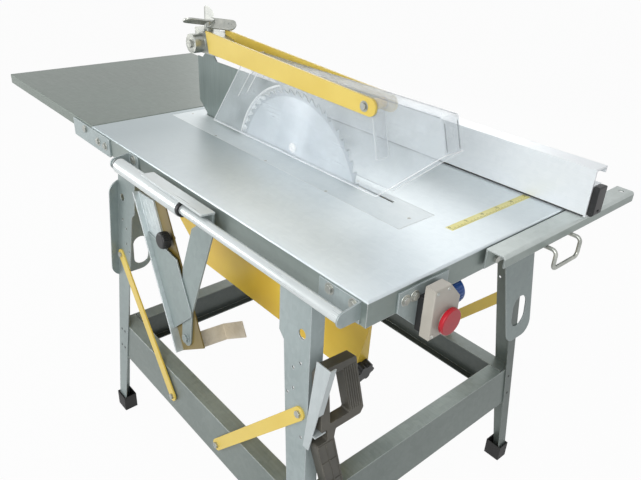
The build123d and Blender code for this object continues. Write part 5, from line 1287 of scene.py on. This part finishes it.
@dataclass
class Carriage:
    """Ribs on the mitre fence and the grip of its knob."""

    tube: Pair = (-36.0, 826.0)
    tilt: float = 5.0
    pivot: Pair = (490.0, 316.0)
    along: Pair = (0.5459, -0.8379)
    face: float = 17.3
    rib: Triple = (74.0, 4.0, 2.0)
    rib_bevel: float = 0.7
    rib_at: Pair = (300.0, 28.0)
    rib_step: Pair = (-13.0, -16.0)
    ribs: int = 3
    knob_at: Pair = (571.0, 106.0)
    knob_span: Pair = (-5.7, 14.3)
    knob_radius: float = 18.0
    grip: Pair = (2.4, 2.2)
    grip_ribs: int = 22
    grip_bevel: float = 0.6
    grip_short: float = 6.0
    grip_sunk: float = 0.2
    grip_shift: float = 1.0

    def hung(self, side: float, y: float, depth: float) -> Vector:
        """A place on the hanging carriage.

        Args:
            side: Its distance beside the tube, before the carriage is tilted.
            y: The place along the tube.
            depth: Its distance below the tube, before the carriage is tilted.

        Returns:
            The point of the frame.
        """
        turn = math.radians(self.tilt)
        x = side * math.cos(turn) - depth * math.sin(turn)
        z = -side * math.sin(turn) - depth * math.cos(turn)
        return at(self.tube[0] + x, y, self.tube[1] + z)

    def on_bar(self, side: float, along: float, across: float) -> Vector:
        """A place on the mitre bar.

        Args:
            side: Its distance beside the tube, before the carriage is tilted.
            along: Its distance from the bar's pivot along the bar.
            across: Its distance from the bar's middle line.

        Returns:
            The point of the frame.
        """
        y = self.pivot[0] + self.along[0] * along - self.along[1] * across
        depth = self.pivot[1] + self.along[1] * along + self.along[0] * across
        return self.hung(side, y, depth)

    def build(self) -> None:
        """Makes the ribs and the grip."""
        along, across = self.rib_at
        start = self.on_bar(self.face, along, across)
        ahead = (self.on_bar(self.face, along + 1.0, across) - start).normalized()
        outer = (self.hung(0.0, 0.0, 0.0) - self.hung(1.0, 0.0, 0.0)).normalized()
        rib = Solid().bar(self.rib, self.rib_bevel, axes(ahead, outer.cross(ahead), outer))
        second = self.on_bar(self.face, along + self.rib_step[0], across + self.rib_step[1])
        mesh = ROW.lay("mitre_ribs", rib.mesh("mitre_rib", "ribbed"), "ribbed", Count=self.ribs,
                       Start=start, Step=second - start)
        show("mitre_ribs", mesh, "mitre")
        self.rib_knob(outer)

    def rib_knob(self, outer: Vector) -> None:
        """Makes the ribs round the knob.

        Args:
            outer: The direction of the knob's axis.
        """
        length = self.knob_span[1] - self.knob_span[0] - self.grip_short
        rib = Solid().bar((*self.grip, length), self.grip_bevel, FLAT)
        ring = (self.grip_ribs, self.knob_radius - self.grip_sunk)
        middle = self.hung(sum(self.knob_span) / 2 + self.grip_shift, *self.knob_at)
        mesh = ringed("mitre_knob_grip", rib, "black", ring, stand(middle, outer))
        show("mitre_knob_grip", mesh, "mitre_knob_body")


@dataclass
class UpperGuard:
    """The clear hood's cut edges, lines, buttons and hanging flap, and washers on the bolt."""

    sides: Pair = (272.6, 321.4)
    rear: tuple[Pair, Pair] = ((702.0, 1058.0), (857.0, 858.0))
    lead: tuple[Pair, Pair] = ((254.0, 858.0), (99.0, 994.0))
    rim: float = 0.9
    end_rim: float = 0.72
    end_drop: float = 0.8
    lines: tuple[Pair, Pair] = ((46.0, 0.55), (70.0, 0.45))
    line_start: float = 0.06
    line_radius: float = 0.9
    front: tuple[Pair, Pair] = ((116.0, 1046.0), (101.5, 998.0))
    front_inset: float = 6.5
    front_radius: float = 0.8
    fold: float = 1054.9
    fold_inset: float = 2.4
    fold_short: Pair = (4.0, 8.0)
    fold_radius: float = 0.7
    button: Profile = ((0.0, -0.4), (11.0, -0.4), (11.5, 1.0), (10.0, 3.2), (6.0, 3.8),
                       (5.0, 2.6), (0.0, 2.4))
    button_sides: int = 28
    button_at: Pair = (523.0, 881.0)
    button_gap: float = 0.6
    washer: Washer = Washer(11.0, 1.2)
    front_bolt: Pair = (301.0, 1033.0)
    arms: Pair = (266.0, 328.0)
    flap: tuple[Pair, Pair] = ((290.0, 1019.0), (268.0, 930.0))
    flap_reach: Pair = (279.0, 315.0)
    flap_thick: float = 2.6
    flap_bevel: float = 0.8
    flap_rims: Pair = (1.1, 0.8)
    flap_foot: float = 1.0

    def build(self) -> None:
        """Makes the hood's edges and flap, the buttons and the bolt washers."""
        for name, mesh in (("hood_rims", self.rims()), ("hood_lines", self.stiffeners()),
                           ("hood_shadow_lines", self.fold_lines())):
            show(name, mesh, "hood_body")
        self.hang_flap()
        left, right = self.walls(-self.button_gap)
        spots = ((at(left, *self.button_at), LEFT), (at(right, *self.button_at), RIGHT))
        mesh = turned("hood_buttons", self.button, self.button_sides, "clear_edge", spots)
        show("hood_buttons", mesh, "hood_body")
        left, right = self.arms
        spots = ((at(left, *self.front_bolt), LEFT), (at(right, *self.front_bolt), RIGHT))
        show("arm_washers", self.washer.lay("arm_washers", spots), "guard")

    def walls(self, inset: float) -> Pair:
        """Where the hood's two walls are, or planes that lie inside them."""
        return self.sides[0] + inset, self.sides[1] - inset

    def rims(self) -> Mesh:
        """Pale beads along the hood's cut edges, a painted highlight.

        Returns:
            One mesh of all the beads.
        """
        beads = Solid()
        for x in self.sides:
            beads.tube([at(x, y, z) for y, z in (*self.rear, *self.lead)], self.rim)
        for y, z in (self.rear[0], self.lead[1]):
            beads.tube([at(x, y, z - self.end_drop) for x in self.sides], self.end_rim)
        return beads.mesh("hood_rims", "clear_edge")

    def stiffeners(self) -> Mesh:
        """Raised lines on both walls, along the hood's rear edge.

        Returns:
            One mesh of all the lines.
        """
        beads = Solid()
        (top_y, top_z), (low_y, low_z) = self.rear
        for shift, end in self.lines:
            for x in self.sides:
                path = [at(x, top_y - shift + share * (low_y - top_y),
                           top_z + share * (low_z - top_z)) for share in (self.line_start, end)]
                beads.tube(path, self.line_radius)
        return beads.mesh("hood_lines", "clear_edge")

    def fold_lines(self) -> Mesh:
        """Dark lines where the front and the top are folded into the walls.

        Returns:
            One mesh of all the lines.
        """
        lines = Solid()
        for x in self.walls(self.front_inset):
            lines.tube([at(x, y, z) for y, z in self.front], self.front_radius)
        ends = (self.rear[0][0] - self.fold_short[0], self.front[0][0] + self.fold_short[1])
        for x in self.walls(self.fold_inset):
            lines.tube([at(x, y, self.fold) for y in ends], self.fold_radius)
        return lines.mesh("hood_shadow_lines", "clear_shade")

    def hang_flap(self) -> None:
        """Hangs the clear flap behind the front bolt."""
        left, right = self.flap_reach
        high, low = (at((left + right) / 2, *end) for end in self.flap)
        ahead = (high - low).normalized()
        place = Matrix.Translation((high + low) / 2) @ axes(RIGHT, ahead.cross(RIGHT), ahead)
        size = (right - left, self.flap_thick, (high - low).length / MM)
        sheet = Solid().bar(size, self.flap_bevel, place).mesh("hood_flap", "clear")
        show("hood_flap", sheet, "hood_body")
        # Painted highlight: pale beads along the flap's edges.
        edges = Solid()
        for x, radius in zip(self.flap_reach, self.flap_rims):
            edges.tube([at(x, *end) for end in self.flap], radius)
        edges.tube([at(x, *self.flap[1]) for x in self.flap_reach], self.flap_foot)
        mesh = edges.mesh("hood_flap_edges", "clear_edge")
        show("hood_flap_edges", mesh, "hood_body")


@dataclass
class Switch:
    """Lid screws, the button's collar, and the inlet's pins and grip."""

    front: float = -36.0
    screw: Profile = ((0.0, 0.5), (1.3, 0.5), (1.6, 1.4), (2.9, 1.2), (3.6, 0.4), (3.6, -0.4),
                      (0.0, -0.4))
    screw_sides: int = 18
    screws: tuple[Pair, ...] = ((123.0, 752.0), (179.0, 752.0), (123.0, 835.0), (150.0, 835.0))
    collar: Profile = ((11.0, 0.0), (16.0, 0.0), (16.0, 0.3), (15.4, 0.8), (11.0, 0.8),
                       (11.0, 0.0))
    collar_sides: int = 36
    button: Pair = (153.0, 775.0)
    inlet: Pair = (28.0, 762.0)
    inlet_floor: float = 204.0
    pin: Profile = ((0.0, 0.0), (2.6, 0.0), (2.6, 34.0), (1.8, 36.5), (0.0, 37.0))
    pin_sides: int = 14
    pins: tuple[int, float] = (3, 10.0)
    grip_at: float = 238.0
    grip: Triple = (2.0, 2.4, 30.0)
    grip_bevel: float = 0.6
    grips: tuple[int, float] = (26, 26.2)

    def build(self) -> None:
        """Makes the switch's small parts."""
        spots = [(at(x, self.front, z), FRONT) for x, z in self.screws]
        mesh = turned("lid_screws", self.screw, self.screw_sides, "zinc", spots)
        show("lid_screws", mesh, "frame")
        x, z = self.button
        collar = Solid().lathe(self.collar, self.collar_sides, stand(at(x, self.front, z), FRONT))
        show("button_collar", collar.mesh("button_collar", "beige"), "frame")
        pin = Solid().lathe(self.pin, self.pin_sides, FLAT)
        place = stand(at(self.inlet_floor, *self.inlet), RIGHT)
        mesh = ringed("inlet_pins", pin, "brass", self.pins, place)
        show("inlet_pins", mesh, "frame")
        rib = Solid().bar(self.grip, self.grip_bevel, FLAT)
        place = stand(at(self.grip_at, *self.inlet), RIGHT)
        mesh = ringed("inlet_grip", rib, "blue", self.grips, place)
        show("inlet_grip", mesh, "frame")


@dataclass
class PushStick:
    """Ribs along the push stick's grip and on its blade."""

    stand: Stand = field(default_factory=Stand)
    face: float = 25.0
    grip: tuple[Pair, Pair] = ((55.0, 636.0), (73.5, 530.0))
    ribs: int = 6
    pitch: float = 5.4
    rib: Pair = (2.8, 3.0)
    rib_bevel: float = 0.9
    shank: tuple[tuple[Pair, Pair], ...] = (
        ((8.5, 486.0), (45.0, 322.0)), ((-2.0, 440.0), (38.5, 440.0)),
        ((9.5, 385.0), (49.0, 385.0)), ((-10.5, 487.0), (27.5, 487.0)),
        ((-10.5, 487.0), (26.5, 305.0)), ((27.5, 487.0), (63.0, 305.0)))
    web: Pair = (1.8, 2.4)
    web_bevel: float = 0.5

    def on_face(self, x: float, z: float) -> Vector:
        """A place on the stick's front face, which leans as the leg does."""
        return at(x, self.stand.leg_y(z) - self.face * math.hypot(1.0, self.stand.lean_y), z)

    def turn(self, first: Vector, second: Vector) -> Matrix:
        """The turn of a rib that runs from one place on the face to another.

        Args:
            first: Where the rib ends.
            second: Where it starts.

        Returns:
            The turn about the rib's own middle.
        """
        ahead = (first - second).normalized()
        outwards = Vector((0.0, -1.0, self.stand.lean_y)).normalized()
        across = outwards.cross(ahead).normalized()
        return axes(ahead, across, ahead.cross(across))

    def build(self) -> None:
        """Makes the ribs."""
        head, foot = (self.on_face(*end) for end in self.grip)
        size = ((head - foot).length / MM, *self.rib)
        rib = Solid().bar(size, self.rib_bevel, self.turn(head, foot)).mesh("stick_rib", "stick")
        mesh = ROW.lay("stick_ribs", rib, "stick", Count=self.ribs, Start=(head + foot) / 2,
                       Step=RIGHT * self.pitch * MM)
        show("stick_ribs", mesh, "stick")
        web = Solid()
        for pair in self.shank:
            high, low = (self.on_face(*end) for end in pair)
            place = Matrix.Translation((high + low) / 2) @ self.turn(high, low)
            web.bar(((high - low).length / MM, *self.web), self.web_bevel, place)
        show("stick_web", web.mesh("stick_web", "stick"), "stick")


@dataclass
class Fence:
    """A dark strip along the foot of the rip fence."""

    strip: tuple[Pair, Pair, Pair] = ((553.7, 555.3), (-42.0, 958.0), (850.9, 853.5))
    bevel: float = 0.4

    def build(self) -> None:
        """Makes the strip."""
        strip = Solid().fill(self.strip, self.bevel).mesh("fence_strip", "black")
        show("fence_strip", strip, "fence")


@dataclass(frozen=True)
class Lamp:
    """A soft square lamp: its place on the machine's scale, its side in metres and its watts."""

    name: str
    place: Triple
    side: float
    power: float

    def hang(self, aim: Vector) -> None:
        """Hangs the lamp so that it looks at a point.

        Args:
            aim: The point of the frame.
        """
        light = bpy.data.lights.new(self.name, "AREA")
        light.energy, light.size = self.power, self.side
        lamp = bpy.data.objects.new(self.name, light)
        spot = at(*self.place)
        lamp.matrix_world = stand(spot, spot - aim)
        lamp.visible_camera = False
        bpy.context.scene.collection.objects.link(lamp)


@dataclass
class Studio:
    """White surroundings, soft lamps and the camera."""

    eye: Triple = (-578.5, -526.25, 1370.55)
    right: Triple = (0.7414, -0.6711, 0.0)
    up: Triple = (0.3176, 0.3509, 0.8809)
    roll: float = 2.85
    lens: float = 35.0
    sensor: float = 36.0
    ambient: Colour = (0.36, 0.372, 0.385, 1.0)
    floor_reach: float = 40.0
    floor_tone: Colour = (0.55, 0.55, 0.55, 1.0)
    floor_roughness: float = 0.9
    floor_white: float = 0.96
    aim: Triple = (330.0, 500.0, 700.0)
    lamps: tuple[Lamp, ...] = (
        Lamp("key", (-2450.0, -950.0, 2300.0), 2.4, 84.0),
        Lamp("top", (300.0, 300.0, 3600.0), 3.0, 4.0),
        Lamp("sheen", (2700.0, 2600.0, 2000.0), 2.6, 28.0),
        Lamp("back", (-1800.0, 2750.0, 1150.0), 1.0, 22.0),
    )

    def build(self) -> None:
        """Sets the whole studio up."""
        bpy.context.scene.view_settings.view_transform = "Standard"
        self.world()
        self.floor()
        for lamp in self.lamps:
            lamp.hang(at(*self.aim))
        self.camera()

    def seen(self, nodes: Nodes) -> Socket:
        """Tells the rays that look straight at the surroundings from those that light the saw.

        Args:
            nodes: The tree that asks.

        Returns:
            One for the camera, a reflection and a clear piece, and nothing for other rays.
        """
        path = nodes.node("ShaderNodeLightPath").outputs
        total = path["Is Camera Ray"]
        for label in ("Is Glossy Ray", "Is Transmission Ray"):
            total = nodes.sums(total, path[label], "MAXIMUM")
        return total

    def world(self) -> None:
        """A white surround that lights the saw at a plain level."""
        world = bpy.data.worlds.new("studio")
        bpy.context.scene.world = world
        world.use_nodes = True
        nodes = Nodes(world.node_tree)
        colour = nodes.blend(self.seen(nodes), self.ambient, WHITE)
        nodes.feed(nodes.tree.nodes["Background"].inputs["Color"], colour)

    def floor(self) -> None:
        """A pale floor that looks white and keeps a faint shadow."""
        mesh = bpy.data.meshes.new("floor")
        signs = ((-1, -1), (1, -1), (1, 1), (-1, 1))
        corners = [(x * self.floor_reach, y * self.floor_reach, 0.0) for x, y in signs]
        mesh.from_pydata(corners, [], [(0, 1, 2, 3)])
        graph = Graph("studio_floor")
        graph.set(Base_Color=self.floor_tone, Roughness=self.floor_roughness)
        glow = graph.node("ShaderNodeEmission", {"Color": WHITE, "Strength": 1.0})
        share = graph.sums(self.seen(graph), self.floor_white, "MULTIPLY")
        inputs = {0: share, 1: graph.shader.outputs[0], 2: glow.outputs[0]}
        both = graph.node("ShaderNodeMixShader", inputs)
        graph.feed(graph.output.inputs["Surface"], both.outputs[0])
        mesh.materials.append(graph.material)
        floor = bpy.data.objects.new("floor", mesh)
        bpy.context.scene.collection.objects.link(floor)

    def camera(self) -> None:
        """Puts the camera where the photograph was taken."""
        right = Vector(self.right).normalized()
        back = right.cross(Vector(self.up)).normalized()
        up = back.cross(right)
        turn = math.radians(self.roll)
        across = right * math.cos(turn) + up * math.sin(turn)
        upright = up * math.cos(turn) - right * math.sin(turn)
        lens = bpy.data.cameras.new("camera")
        lens.lens, lens.sensor_width = self.lens, self.sensor
        camera = bpy.data.objects.new("camera", lens)
        camera.matrix_world = Matrix.Translation(at(*self.eye)) @ axes(across, upright, back)
        bpy.context.scene.collection.objects.link(camera)
        bpy.context.scene.camera = camera


def clear_start_scene() -> None:
    """Removes what Blender's own start scene holds besides the frame."""
    kept = set(frame["nodes"].values()) | set(frame["bodies"].values())
    for item in list(bpy.context.scene.objects):
        if item not in kept:
            bpy.data.objects.remove(item)


def main() -> None:
    """Dresses the saw and sets up the studio."""
    logging.basicConfig(level=logging.INFO, format="%(message)s")
    clear_start_scene()
    FINISH.dress()
    for assembly in (Table(), Blade(), Stand(), Carriage(), UpperGuard(), Switch(), PushStick(),
                     Fence(), Studio()):
        assembly.build()


if __name__ == "__main__":
    main()
